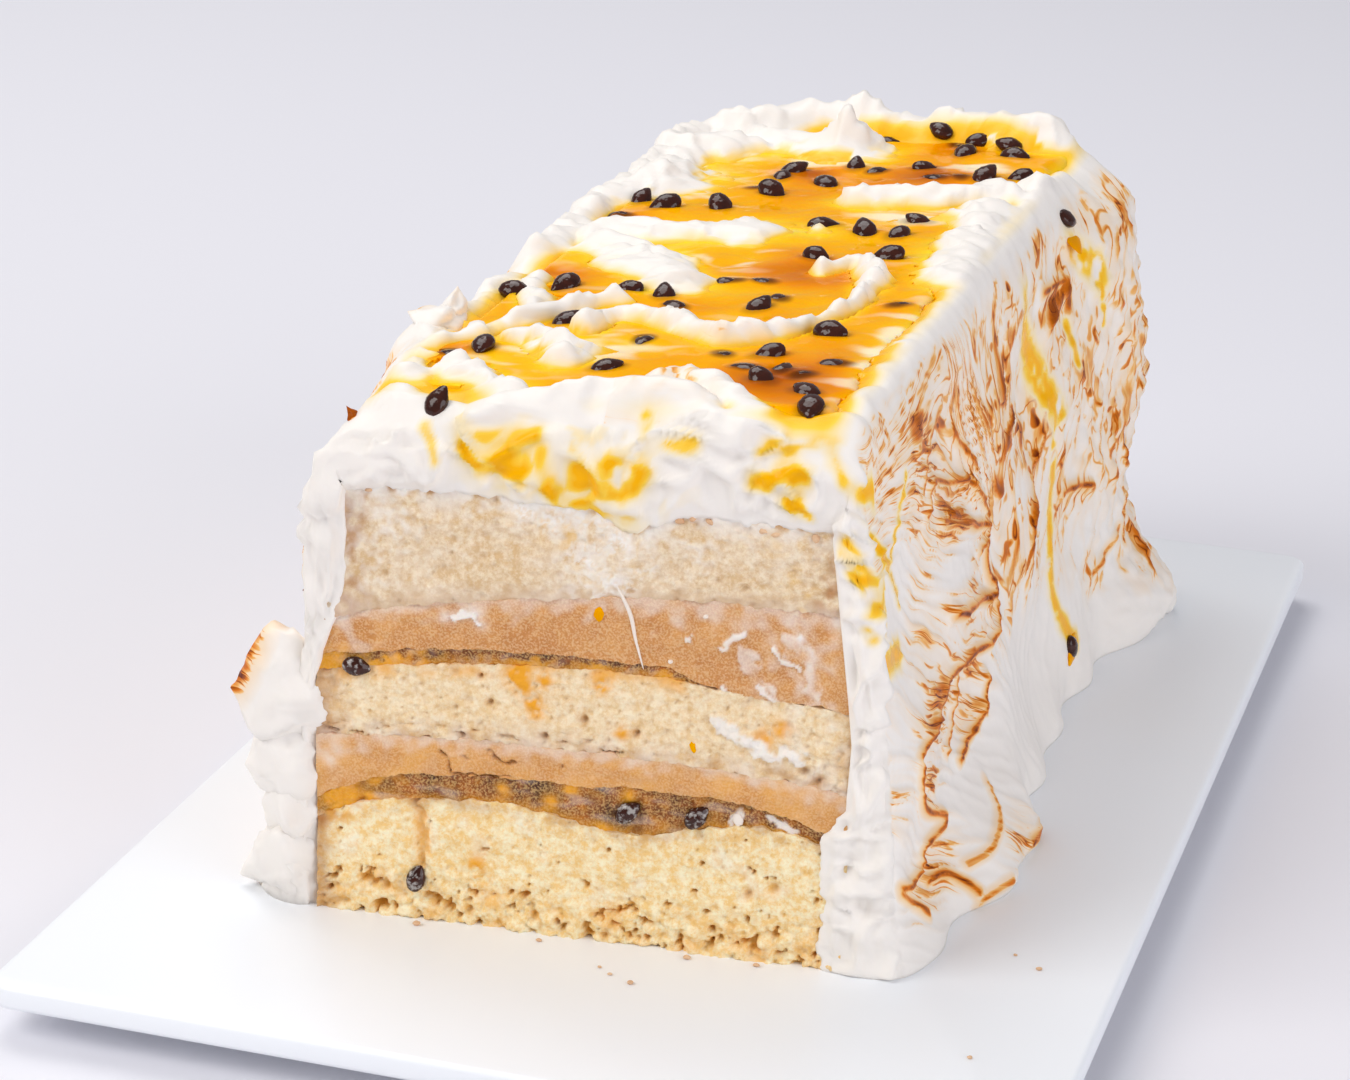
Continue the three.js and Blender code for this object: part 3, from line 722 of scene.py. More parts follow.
# %% Lower curd
piece, places, share = lay_grid(1, 2)
bubbles = pits(places, 3.4, 0.25, 331)
relief = 0.5 * bumps(places, 3, 311) + 0.35 * bumps(places, 0.9, 321) - 0.35 - 0.8 * bubbles
clear = spots(places, [(-7.6, 24.9), (-16.3, 26.3), (-4, 28), (1.7, 20.8), (6, 27.5), (-44, 20)],
              [1.4, 1.2, 1.4, 1.6, 1.3, 4])
smear_ways = [[(24.6, 25.4), (25.8, 26.8)], [(30.8, 26.6), (32.4, 26.2), (34.4, 25)]]
run_back(piece, places, relief, {
    "stain": clear + 0.25 * patchy(places, 2.4, 341, 0.05, 0.5) + 0.4 * (1 - step_up(share, 0.0, 0.3))
             + 0.6 * step_up(-places[:, 0], 32, 40) * patchy(places, 3, 347, -0.5, 0.3),
    # The bubble pits are darkened as painted shade.
    "crack": 0.6 * bubbles,
    "cream": 0.2 * patchy(places, (6, 6, 2), 343, 0.1, 0.6)
             + 0.85 * dragged_over(places, 1.0, smear_ways, 335),
})
put_on(piece, "lower_curd", frosted_curd, "curd", "curd_lower")

# %% Lower mousse
piece, places, share = lay_grid(2, 3)
crack_lines = [[(-26.8, 32), (-25.4, 30), (-25, 28.3), (-21, 28.4), (-17.7, 28.6), (-13, 29.4), (-9.7, 29.9)],
               [(-24.4, 31.2), (-21.5, 31.6), (-19.1, 32.9), (-16.4, 31.5), (-13.1, 31.9)],
               [(-6.2, 33.9), (-5.5, 31.9), (-6.4, 30.3)]]
crack = np.zeros(len(places))
strays = shifts(places, 2.0, 345, 2)
for line in crack_lines:
    away = away_from(smooth_way(line), places[:, [0, 2]] + 0.9 * strays)
    crack = np.maximum(crack, np.exp(-(away / 0.22) ** 2))
crack *= patchy(places, 2.6, 347, -0.25, 0.25)
relief = 0.3 * bumps(places, (9, 9, 3), 351) + 0.12 * bumps(places, 0.8, 361) - 0.9 * crack
film = spots(places, [(-46.6, 28), (-45.5, 30)], [1.2, 1.4])
run_back(piece, places, relief, {
    "stain": 0.25 + 0.3 * patchy(places, 6, 371, 0, 0.5),
    # The cracks are darkened as painted shade.
    "crack": 0.5 * crack,
    "cream": 0.5 * film + 0.42 * step_up(share + 0.4 * bumps(places, 2.4, 373), 0.5, 1.1)
             + 0.06 * patchy(places, 3, 375, -0.1, 0.5),
})
put_on(piece, "lower_mousse", caramel_mousse, "mousse", "mousse_lower")

# %% [markdown]
# ## Upper curd and mousse
# The upper curd is thin and stops two thirds across, where the mousse meets the sponge. At the right
# the knife has dragged a film of meringue over the mousse.

# %% Upper curd
piece, places, share = lay_grid(4, 5, CURD_END)
relief = 0.35 * bumps(places, 2.6, 411) + 0.3 * bumps(places, 0.8, 421) - 0.25
below = step_up(-share + 0.5 * bumps(places, 1.8, 443) + 0.3 * bumps(places, 0.8, 449), -0.62, -0.3)
amber_here = np.maximum(spots(places, [(-38, 46), (-12, 49), (0, 50), (12, 50)], [10, 5, 4, 3]), 0.4)
left_amber = (places[:, 0] < -27) * patchy(places, 4, 441, -0.4, 0.4)
run_back(piece, places, relief, {
    "stain": 0.9 * below * amber_here + 0.8 * left_amber,
    "cream": 0.12 * patchy(places, 2, 447, 0, 0.5),
})
put_on(piece, "upper_curd", frosted_curd, "curd", "curd_upper")

# %% Upper mousse
piece, places, share = lay_grid(5, 6)
swoosh = [(25.6, 55.9), (27.4, 51.7), (30.8, 48.1), (33.4, 46.2), (36.4, 49.4), (36.8, 55.6), (33.4, 59.3),
          (30.4, 57.5)]
film = 0.7 * dragged_over(places, 1.9, [swoosh], 451) * patchy(places, 3.2, 459, -0.3, 0.4)
film = np.maximum(film, 0.5 * spots(places, [(32, 52)], [5]) * patchy(places, 2.6, 455, -0.2, 0.6))
streak_ways = [
    [(21.6, 57.4), (23, 59), (25.4, 60)], [(22, 50), (22.4, 48.2), (23.6, 46.4)],
    [(30.4, 57.6), (32, 55.6), (34.4, 54.8)], [(-25, 57.2), (-22.1, 58.2), (-20.1, 56.4)],
    [(15.2, 57.8), (16, 57.9)], [(28, 51), (30.8, 48.4)],
]
film = np.maximum(film, 0.95 * dragged_over(places, 0.6, streak_ways, 457))
left_way = smooth_way([(-26, 57), (-22.1, 58.1), (-20.1, 56.3)])
left_film = np.exp(-(away_from(left_way, places[:, [0, 2]]) / 1.2) ** 2)
relief = 0.3 * bumps(places, (9, 9, 3), 461) + 0.12 * bumps(places, 0.8, 471) + 0.5 * film
swirl = spots(places, [(-44, 48.5), (-38, 48.3)], [4, 3])
run_back(piece, places, relief, {
    "stain": 0.6 * swirl * patchy(places, 2.5, 475, -0.2, 0.5),
    "cream": 0.9 * film + 0.4 * left_film
             + 0.35 * step_up(places[:, 0], 24, 40) * patchy(places, 3, 481, 0, 0.6)
             + 0.3 * step_up(-places[:, 0], 30, 44) * patchy(places, 3.5, 485, 0, 0.6)
             + 0.42 * step_up(share + 0.35 * bumps(places, 2.6, 487), 0.62, 1.05),
})
put_on(piece, "upper_mousse", caramel_mousse, "mousse", "mousse_upper")

# %% [markdown]
# ## Form of the meringue
# The coat's plain section is two leaning walls and a slightly tilted top. On the top lie ridges and
# peaks where the spatula lifted off, on the walls lumps and a ruffled skirt. These are the same
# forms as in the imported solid. Here they wander a little, and finer folds come on top of them.

# %% Ridges, peaks and lumps
# Each ridge: height of its crest, half its width, and the places x, y that it runs through.
RIDGES = [
    (5.5, 5, [(-22, -97), (-12, -94), (0, -91), (10, -91), (18, -95), (26, -98)]),
    (3.2, 4.5, [(-42, -88), (-34, -93), (-24, -97)]),
    (3.2, 4, [(24, -96), (33, -95), (43, -92)]),
    (4.5, 4, [(2, -90), (7, -78), (16, -85), (25, -95)]),
    (4.2, 5, [(-34, -76), (-28, -83), (-20, -89)]),
    (3.6, 4, [(-27, -56), (-20, -63), (-15, -70)]),
    (4.2, 3.2, [(-45, -65), (-36, -56), (-28, -42), (-20, -31)]),
    (4, 3, [(-38, -20), (-35, -32), (-30, -46)]),
    (4.6, 2.6, [(-17, -50), (-14, -42), (-8, -43), (0, -49), (9, -54), (16, -46), (22, -35)]),
    (4.6, 2.6, [(22, -35), (25, -20), (22, -5), (17, 1), (13, -6)]),
    (4.6, 8, [(-32, 6), (-24, -2), (-18, -8), (-11, -18)]),
    (4.8, 8, [(-38, 16), (-24, 18), (-9, 21)]),
    (5, 5, [(6, 50), (20, 52), (34, 57)]),
    (4.2, 7.5, [(37, -6), (34, 20), (34, 45)]),
    (5.5, 7, [(-46, 42), (-38, 58), (-42, 74), (-32, 92)]),
    (4.6, 7, [(-30, 101), (-17, 96), (-6, 93)]),
    (8.5, 6, [(-38, 100), (-14, 114), (12, 113), (32, 106)]),
    (2.6, 4, [(41, -85), (41, -60), (40.5, -35), (40, 0), (39.5, 30), (39.5, 60), (41, 82)]),
    (3.5, 5, [(-42, -86), (-45, -62), (-46, -46), (-45, -20)]),
    (7.5, 6, [(-46, 2), (-48, 20), (-48, 40), (-47, 66), (-43, 96)]),
]
# Each peak: place x, y, height and half width.
PEAKS = [((-8, 93), 9.5, 3.2), ((-10, 113), 5, 4), ((3, 25), 3, 3.5), ((38, 66), 4, 5), ((-47, -50), 2, 3)]
# Each lump: side (-1 left, 1 right), place y and height, bulge, and reach along and up.
LUMPS = [
    (-1, (-86, 37), 6, (14, 10)), (-1, (-90, 6), 2, (22, 11)), (-1, (-50, 89), 4, (7, 7)),
    (-1, (-30, 16), 6, (18, 16)), (-1, (34, 30), 5, (20, 24)), (-1, (88, 12), 8, (16, 14)),
    (1, (-38, 4), 8, (28, 12)), (1, (92, 6), 11, (20, 11)), (1, (30, 60), -2, (9, 44)),
    (1, (98, 72), 7.5, (32, 46)),
]
ridge_ways = [(crest, half, smooth_way(way)) for crest, half, way in RIDGES]
# Shallow places, where the folds come up through the pulp: place x, y, reach and rise.
SHALLOWS = [
    ((-18, -62), (14, 11), 1.7), ((-34, 62), (12, 18), 1.7), ((18, 40), (9, 7), 1.0),
    ((36, -52), (4, 26), 1.0), ((-12, 84), (14, 6), 1.2), ((-6, 4), (8, 6), 1.0), ((24, 86), (8, 6), 0.8),
]


def wandered(spots_xy):
    """Places on the top, shifted unevenly, so that no ridge keeps an even edge."""
    flat = np.column_stack([spots_xy, np.zeros(len(spots_xy))])
    return spots_xy + 2.2 * shifts(flat, 12, 506, 2) + 0.45 * shifts(flat, 4, 508, 2)


def folds(spots_xy, height):
    """Fine folds of the top: long soft swells and the thin edges that a spatula leaves."""
    places = np.column_stack([spots_xy, 1.5 * height])
    drag = places.copy()
    drag[:, :2] += 6 * shifts(places, 24, 501, 2)
    made = 0.9 * bumps(drag, (20, 11, 12), 504) + 1.2 * (thin_edges(drag, (26, 8, 10), 503) - 0.25)
    made += 0.4 * (thin_edges(drag, (13, 3.6, 6), 505) - 0.25)
    rim = bumps(places, (6, 7, 5), 511) + 0.5 * bumps(places, 3, 512)
    return made * (1 - 0.92 * step_up(spots_xy[:, 0], 31, 39)) + 1.5 * rim * step_up(-spots_xy[:, 0], 36, 45)


def top_rise(spots_xy, height):
    """Rise of the coat's top over its plain level, for places at a plain height."""
    rise = np.zeros(len(spots_xy))
    shifted = wandered(spots_xy)
    for crest, half, way in ridge_ways:
        rise = np.maximum(rise, crest * np.exp(-(away_from(way, shifted) / half) ** 2))
    for centre, reach, shallow in SHALLOWS:
        rise += shallow * mound(*spots_xy.T, centre, reach)
    for place, peak, half in PEAKS:
        rise += peak * np.exp(-np.linalg.norm(spots_xy - place, axis=1) / half)
    return rise + folds(spots_xy, height)


def wall_rise(side, y, z):
    """How far the walls stand out, for side -1 or 1 of each point."""
    strokes = 0.7 * np.sin(y / 8.3 + z / 9 + side) + 0.7 * np.sin(y / 13 - z / 7)
    ruffle = 0.6 + 0.4 * np.sin(y / 4.3 + 2 * side)
    rise = strokes + 3 * ruffle * np.exp(-(z / 9) ** 2)
    for lump_side, centre, bulge, reach in LUMPS:
        rise = rise + (side == lump_side) * bulge * mound(y, z, centre, reach)
    return rise


# %% [markdown]
# ## Section of the coat
# Every ring of the coat has the same number of points, from the left foot over the top to the right
# foot. More of them lie where the picture looks: the top and the right wall.

# %% Section
COAT_TOP = 94.5
COAT_TILT = 0.06
SHOULDER = 83
COAT_BACK = 119
BACK_ROUNDING = 11
LEFT_REACH = 52
LEFT_FOOT, LEFT_SHOULDER = (-58, 0), (-LEFT_REACH, SHOULDER)
RIGHT_FOOT, RIGHT_SHOULDER = (55.5, 0), (45, 87)
TOP_ENDS = (-41, 38)
INNER_SHOULDER = 77
STEPS = {"left wall": 48, "left bend": 12, "top": 122, "right bend": 14, "right wall": 146}


def plain_top(x):
    """Height of the coat's plain top at a place across."""
    return COAT_TOP + COAT_TILT * x


def straight(start, end, steps):
    """Places along a straight line, without its end."""
    return np.linspace(start, end, steps, endpoint=False)


def bend(start, pull, end, steps):
    """Places along a curve that one more place pulls out, without its end."""
    t = np.linspace(0, 1, steps, endpoint=False)[:, None]
    return (1 - t) ** 2 * np.array(start) + 2 * t * (1 - t) * np.array(pull) + t ** 2 * np.array(end)


top_left, top_right = ((x, plain_top(x)) for x in TOP_ENDS)
outer_section = np.vstack([
    straight(LEFT_FOOT, LEFT_SHOULDER, STEPS["left wall"]),
    bend(LEFT_SHOULDER, (-50, plain_top(-50)), top_left, STEPS["left bend"]),
    straight(top_left, top_right, STEPS["top"]),
    bend(top_right, (44.2, plain_top(44.2)), RIGHT_SHOULDER, STEPS["right bend"]),
    straight(RIGHT_SHOULDER, RIGHT_FOOT, STEPS["right wall"]),
    [RIGHT_FOOT],
])
on_top = step_up(outer_section[:, 1], SHOULDER + 2, SHOULDER + 11)
lip_hang = step_up(outer_section[:, 1], 55, 93)
on_wall = 1 - step_up(outer_section[:, 1], 88, 97)


def block_outline(z, side):
    """Places on the block's wall at some heights, with the small gap that the coat keeps."""
    z = np.asarray(z, float)
    return np.column_stack([BLOCK_CENTRE + side * (block_half(z) + COAT_GAP), z])


crown_left, crown_right = (block_outline([CROWN], side)[0] for side in (-1, 1))
inner_section = np.vstack([
    block_outline(np.linspace(0, INNER_SHOULDER, STEPS["left wall"], endpoint=False), -1),
    straight(block_outline([INNER_SHOULDER], -1)[0], crown_left, STEPS["left bend"] // 2),
    straight(crown_left, crown_left + (3, 0), STEPS["left bend"] // 2),
    straight(crown_left + (3, 0), crown_right - (3, 0), STEPS["top"]),
    straight(crown_right - (3, 0), crown_right, STEPS["right bend"] // 2),
    straight(crown_right, block_outline([INNER_SHOULDER], 1)[0], STEPS["right bend"] // 2),
    block_outline(np.linspace(INNER_SHOULDER, 0, STEPS["right wall"] + 1), 1),
])
print("points in a ring of the coat:", len(outer_section), len(inner_section))

# %% [markdown]
# ## Rings of the coat
# The coat is one sheet. It starts inside at the block's back, runs forward along the block, turns
# round the soft lip that hangs over the cut face, goes back along the outside and round the loaf's
# end. The lip's upper edge is rounded off, and the left shoulder is tucked in at the front.

# %% Rings
LIP_RINGS = 26
OUTER_RINGS = 216
LEFT_TUCK, LEFT_TUCK_RUN = 3, 40
LIP_DROP, LIP_ROUNDING = 3.4, 7
# The lumps at the lower left start a few mm behind the cut.
set_back = 4 * np.maximum(0, -outer_section[:, 0]) / LEFT_REACH * (1 - step_up(outer_section[:, 1], 42, 54))


def coat_ring(y, shrink=1.0):
    """The outside of the coat at a place along the loaf."""
    x, z = outer_section.T
    ys = np.full(len(x), float(y))
    along = (y - CUT_FRONT) / (COAT_BACK - BACK_ROUNDING - CUT_FRONT)
    side = np.sign(x)
    tuck = LEFT_TUCK * math.exp(-((y - CUT_FRONT) / LEFT_TUCK_RUN) ** 2)
    tucked = tuck * np.minimum(1, z / SHOULDER) * np.maximum(0, -x) / LEFT_REACH
    out = on_wall * wall_rise(side, ys, z)
    near_lip = max(0.0, 1 - (y - CUT_FRONT) / LIP_ROUNDING)
    rise = on_top * (top_rise(np.column_stack([x, ys]), z) - LIP_DROP * near_lip ** 2)
    askew = (cut_at(x) - CUT_FRONT) * max(0.0, 1 - along)
    askew = askew + set_back * max(0.0, 1 - (y - CUT_FRONT) / 10) ** 2
    along_loaf = ys + askew - near_lip * lip_hang
    return np.column_stack([(x + tucked + side * out) * shrink, along_loaf, (z + rise) * shrink])


def lip_reach():
    """How far the lip hangs in over the cut face: droops at the top, a smear at the lower right."""
    x, z = inner_section.T
    spot = np.column_stack([x, 0 * x, z])
    top = step_up(z, 78, 80)
    droop = lip_droop(x) + 0.9 * bumps(spot, 2.6, 521) + 0.5 * bumps(spot, 1.1, 525)
    right_smear = np.interp(z, (0, 4, 12, 18, 25, 30, 50, 75), (3.2, 4.6, 4.2, 4.6, 5.2, 1.0, 0.6, 0.6))
    torn = 0.9 * bumps(spot, 2.4, 522) + 0.6 * bumps(spot, 1.1, 523)
    right_smear = right_smear + torn * step_up(right_smear, 0.5, 3)
    left_smear = np.interp(
        z, (0, 7, 14, 31, 42, 50, 60, 70, 77), (-1.4, -1.6, -1.6, -0.9, 0, 1.4, 2.8, 1.8, 0.6))
    left_smear = left_smear + 0.4 * bumps(spot, 2.4, 524)
    reach = np.where(x > BLOCK_CENTRE, right_smear, left_smear) * (1 - top) + droop * top
    inward = np.column_stack([np.where(x > BLOCK_CENTRE, -1, 1) * (1 - top), -top])
    return inner_section + inward * reach[:, None]


def on_cut(section, proud):
    """A section set on the cut, so many mm proud of it."""
    return np.column_stack([section[:, 0], cut_at(section[:, 0]) - proud, section[:, 1]])


inner_back = np.insert(inner_section, 1, BLOCK_BACK + COAT_GAP, axis=1)
front_ring = coat_ring(CUT_FRONT)
lip_edge = lip_reach()
rings = [inner_back, on_cut(inner_section, -0.6), on_cut(lip_edge, -0.4)]
first_lip = len(rings)
for share in np.linspace(0, 1, LIP_RINGS, endpoint=False):
    across_lip = on_cut(lip_edge, 0.3) * (1 - share) + front_ring * share
    hanging = np.interp(share, (0, 0.15, 0.4, 0.7, 0.9, 1), (0.3, 1.2, 2.5, 2.7, 1.9, 1.0))
    proud = 0.3 + 0.9 * math.sin(math.pi * share) ** 0.7
    across_lip[:, 1] = cut_at(across_lip[:, 0]) - lip_hang * hanging - (1 - lip_hang) * proud
    across_lip[:, 1] += set_back * share ** 2
    rings.append(across_lip)
first_outer = len(rings)
straight_back = COAT_BACK - BACK_ROUNDING
even = np.linspace(0, 1, OUTER_RINGS)
rings += [coat_ring(y) for y in CUT_FRONT + (straight_back - CUT_FRONT) * (0.72 * even + 0.28 * even ** 2)]
last_straight = len(rings) - 1
for turn in np.linspace(0, math.pi / 2, 9)[1:]:
    ring = coat_ring(straight_back + BACK_ROUNDING * math.sin(turn), 1 - 0.12 * (1 - math.cos(turn)))
    ring[:, 1] += 0.5 * math.sin(turn) ** 2 * wall_rise(-1, 1.2 * ring[:, 0], ring[:, 2])
    rings.append(ring)
for share in np.linspace(1, 0.06, 18)[1:]:
    ring = coat_ring(COAT_BACK, 0.88 * share)
    ring[:, 1] += 0.5 * wall_rise(-1, 1.2 * ring[:, 0], ring[:, 2])
    rings.append(ring)
sheet = np.array(rings)
print("rings in the coat:", len(sheet))

# %% [markdown]
# ## Torched strokes on the right wall
# The spatula was dragged along the wall and left thin edges and curls, and the torch browned just
# those. They are drawn as ways in y and height: how high the edge stands, how wide it is and how
# dark it was torched.

# %% Strokes
STROKES = [
    (0.8, 1.6, 0.45, [(-58, 93), (-41, 95), (-18, 96)]),
    (1.1, 1.5, 0.75, [(-62, 90), (-43, 91), (-28, 90)]),
    (0.8, 1.3, 0.6, [(-66, 86), (-60, 88.5), (-49, 90)]),
    (0.8, 1.3, 0.6, [(-65, 78), (-58, 83), (-41, 87)]),
    (1.0, 1.2, 0.8, [(-34, 80), (-28, 75), (-22, 69.6)]),
    (0.9, 1.4, 0.6, [(10, 86), (9, 75), (3, 66.5), (-6, 59)]),
    (1.5, 2.2, 0.95, [(41, 85), (61, 82), (52, 79), (44, 76.5)]),
    (1.3, 1.5, 0.75, [(-61, 73), (-56, 77), (-31, 69.4), (-20, 63.7), (-13, 57.6)]),
    (1.7, 1.6, 0.9, [(-51, 67.5), (-26, 60.3), (-11.5, 55), (-22, 53)]),
    (1.9, 1.6, 1.0, [(-13, 52.5), (-15, 48), (-10, 41), (-24, 45), (-49, 50.6)]),
    (1.6, 1.5, 0.9, [(-11, 39), (-16, 35), (-47, 39), (-58, 37), (-79, 36)]),
    (1.6, 2.0, 1.0, [(-26, 30), (-32, 25), (-48, 22.5)]),
    (1.0, 1.2, 0.7, [(-41, 36), (-45, 30), (-54, 26)]),
    (1.4, 1.4, 0.85, [(-79, 34), (-77, 26), (-63, 17.4), (-75, 17), (-78, 14), (-90, 16)]),
    (1.4, 1.5, 0.95, [(-75, 10.6), (-67, 9), (-61, 3)]),
    (1.2, 1.4, 0.8, [(-90, 15), (-83, 10.7), (-79, 6.6)]),
    (1.0, 1.5, 0.6, [(-40, 16), (-45, 11), (-61, 8.6)]),
    (1.3, 1.6, 0.95, [(-36, 3), (-24, 1)]),
    (0.9, 1.1, 0.6, [(-61, 1), (-51, 2.4)]),
    (0.8, 1.0, 0.75, [(40, 63.6), (36, 54), (18, 47), (14, 35)]),
    (1.3, 1.6, 0.9, [(51, 40.6), (56, 41), (68, 38)]),
    (0.8, 2.2, 0.5, [(79, 51), (72, 39)]),
    (1.0, 2.2, 0.6, [(87, 23), (67, 18)]),
    (1.0, 2.4, 0.7, [(95, 28), (88, 19.5)]),
    (1.0, 2.2, 0.6, [(97, 54), (95, 66)]),
]
# Zones of the right wall that the torch went over: place y, height, reach and strength.
TORCHED = [
    ((-62, 88), (24, 9), 0.65), ((-38, 84), (18, 12), 0.65), ((-38, 68), (22, 10), 0.7),
    ((-8, 60), (10, 12), 0.65), ((4, 72), (9, 18), 0.95), ((14, 84), (8, 8), 0.55),
    ((-14, 78), (14, 14), 0.5), ((30, 52), (16, 14), 0.45), ((66, 62), (14, 14), 0.45),
    ((22, 62), (9, 6), 0.65), ((20, 46), (16, 8), 0.65), ((-10, 42), (14, 7), 0.6),
    ((-58, 38), (24, 9), 0.7), ((-36, 27), (12, 6), 0.6), ((-72, 28), (10, 7), 0.6),
    ((-72, 12), (16, 8), 0.6), ((-38, 6), (14, 6), 0.5), ((54, 80), (16, 6), 0.95),
    ((62, 38), (13, 5), 0.65), ((34, 30), (4, 8), 0.5), ((92, 48), (26, 26), 0.55),
    ((100, 16), (18, 9), 0.65), ((70, 20), (12, 8), 0.45), ((85, 76), (16, 8), 0.45),
    ((-45, 94), (30, 6), 0.6), ((10, 92), (20, 7), 0.5),
]
# Places the flame missed: place y, height and reach.
MISSED = [((0, 18), (30, 13)), ((-84, 62), (13, 14)), ((-45, 57), (16, 4))]
STROKE_REACH = 8
# Added to the streak and run masks, which are in mm, to keep them over 0, and the most they can hold.
STREAK_START, STREAK_MOST = 150, 500

# %% Streaks along the strokes
x, y, z = (sheet[:, :, k] for k in range(3))
ring_number = np.broadcast_to(np.arange(len(sheet))[:, None], x.shape)
outside = ring_number >= first_outer
behind = ring_number > last_straight
top_share = np.where(behind, step_up(z, SHOULDER + 4, SHOULDER + 13), on_top[None, :])
right_side = np.broadcast_to(outer_section[:, 0] > 0, x.shape)
wall = (1 - top_share) * outside


def on_sheet(values):
    """One value for each point of the sheet, in its rings and columns."""
    return values.reshape(x.shape)


flat_places = sheet.reshape(-1, 3)
warp = shifts(flat_places, 13, 601)
# In front the strokes fan out: at each height they fall along the loaf at a slope of their own. Behind
# that fan they stand nearly upright. `streak` counts mm across the strokes and `run` mm along them.
dragged = flat_places + 5 * shifts(flat_places, 32, 605) + 0.9 * shifts(flat_places, 8, 608)
slope = np.interp(dragged[:, 2], (0, 25, 40, 48, 70, 92, 97), (0.6, 0.55, 0.4, 0.5, 0.6, -0.15, -0.3))
fanned = dragged[:, 2] + slope * (np.minimum(dragged[:, 1], 0) + 50)
standing = 0.3 * dragged[:, 1] - 0.12 * dragged[:, 2] + 60
stands = step_up(dragged[:, 1] + 0.3 * dragged[:, 2], -12, 12)
streak = fanned * (1 - stands) + standing * stands
run = dragged[:, 1] * (1 - stands) + 2.4 * dragged[:, 2] * stands
streaks = np.column_stack([dragged[:, 0], run, streak])
edge_lines = on_sheet(thin_edges(streaks, (14, 40, 4), 611, 0.72))
fine_edges = on_sheet(thin_edges(streaks, (9, 22, 1.9), 621, 0.66))
dabs = on_sheet(bumps(flat_places, 3.2, 631))
patches = on_sheet(bumps(flat_places, 15, 651))
streak, run = on_sheet(streak), on_sheet(run)

# %% Torched edges and zones
stroke_relief = np.zeros(x.shape)
stroke_away = np.full(x.shape, float(STROKE_REACH))
stroke_dark = np.zeros(x.shape)
on_right = right_side & outside & ~behind
spot_yz = np.column_stack([y[on_right], z[on_right]]) + 1.2 * warp.reshape(*x.shape, 3)[on_right][:, 1:]
for height, half, dark, way in STROKES:
    away = away_from(smooth_way(way), spot_yz)
    stroke_relief[on_right] = np.maximum(stroke_relief[on_right], height * np.exp(-(away / half) ** 2))
    nearer = away < stroke_away[on_right]
    stroke_dark[on_right] = np.where(nearer, dark, stroke_dark[on_right])
    stroke_away[on_right] = np.minimum(stroke_away[on_right], away)

zone = np.zeros(x.shape)
for centre, reach, strength in TORCHED:
    zone = np.maximum(zone, np.where(on_right, strength * mound(y, z, centre, reach), 0))
# A pale straw tint lies over most of the wall.
tinted = 0.4 + 0.25 * patches
zone = np.maximum(zone, np.where(on_right, tinted * step_up(z, 8, 40), 0))
for centre, reach in MISSED:
    zone *= 1 - 0.8 * mound(y, z, centre, reach)
unseen = (outside & ~right_side) | behind
zone = np.where(unseen, (0.45 + 0.4 * patches) * (1 - top_share), zone)
zone = zone * (1 - step_up(outer_section[:, 1], 93, 97))[None, :] * outside

# Dots where a small tip burnt.
tips = step_up(on_sheet(pits(flat_places * (1, 0.75, 1), 4.6, 0.3, 641)), 0.4, 0.62)
dotted = np.maximum(step_up(zone, 0.4, 0.7), 0.9 * mound(y, z, (18, 58), (26, 24)))
tips = tips * np.where(on_right, dotted, 0)
stroke_away = np.minimum(stroke_away, STROKE_REACH * (1 - tips) ** 2)
stroke_dark = np.maximum(stroke_dark, 0.9 * tips)
crest = 0.5 + 0.4 * fine_edges + 0.45 * edge_lines
zone = np.minimum(zone * crest, 1)

# %% [markdown]
# ## Relief along the skin
# Fine relief is pushed out along the skin, so the direction square to it is worked out from
# neighbouring points. The lip's front edge is first rounded by averaging neighbours, as soft meringue
# never has a sharp edge. The right corner, which a knife has drawn round, is averaged for longer.

# %% Relief
EDGE_RINGS, EDGE_TIMES = 5, 8
CORNER_RINGS, CORNER_TIMES = 9, 60


def rounded(sheet, reach, times, share):
    """Averages the rings around the front edge with their neighbours, each point by its own share."""
    near = slice(first_outer - reach, first_outer + reach)
    before = slice(first_outer - reach - 1, first_outer + reach - 1)
    after = slice(first_outer - reach + 1, first_outer + reach + 1)
    for _ in range(times):
        average = 0.25 * sheet[before] + 0.5 * sheet[near] + 0.25 * sheet[after]
        sheet[near] += share[near][:, :, None] * (average - sheet[near])


rounded(sheet, EDGE_RINGS, EDGE_TIMES, np.ones(x.shape))
rounded(sheet, CORNER_RINGS, CORNER_TIMES, np.where(right_side, 1 - top_share, 0))

along_ring = np.gradient(sheet, axis=1)
along_sheet = np.gradient(sheet, axis=0)
square_out = np.cross(along_ring, along_sheet)
square_out /= np.maximum(np.linalg.norm(square_out, axis=2, keepdims=True), 1e-9)

lip = (ring_number >= first_lip) & (ring_number < first_outer)
lip_share = np.clip((ring_number - first_lip) / LIP_RINGS, 0, 1)
wave = on_sheet(bumps(flat_places + 3 * warp, (8, 8, 5), 661))
creases = on_sheet(thin_edges(flat_places + 4 * warp, (7, 7, 5), 663))
upright = on_sheet(thin_edges(flat_places + 2 * warp, (2.2, 3, 16), 665))
ruffles = on_sheet(bumps(flat_places + 3 * warp, (5, 5, 11), 683))
calm = 1 - 0.8 * step_up(z, 76, 90)
relief = wall * (0.25 * calm * (edge_lines - 0.3) + 0.05 * dabs + 0.75 * stroke_relief + 0.5 * tips)
knobs = on_sheet(bumps(flat_places, (5, 5, 4.2), 667) + 0.5 * bumps(flat_places, 2.3, 669))
relief += wall * (0.2 + 0.9 * step_up(y, 40, 95)) * np.maximum(knobs, -0.2)
relief += wall * zone * calm * (0.7 * (edge_lines - 0.3) + 0.5 * (fine_edges - 0.3) + 0.1 * dabs)
inner_lip = lip * step_up(lip_share, 0, 0.25)
relief += inner_lip * top_share * (1.2 * wave + 1.3 * (creases - 0.3) + 0.15 * dabs)
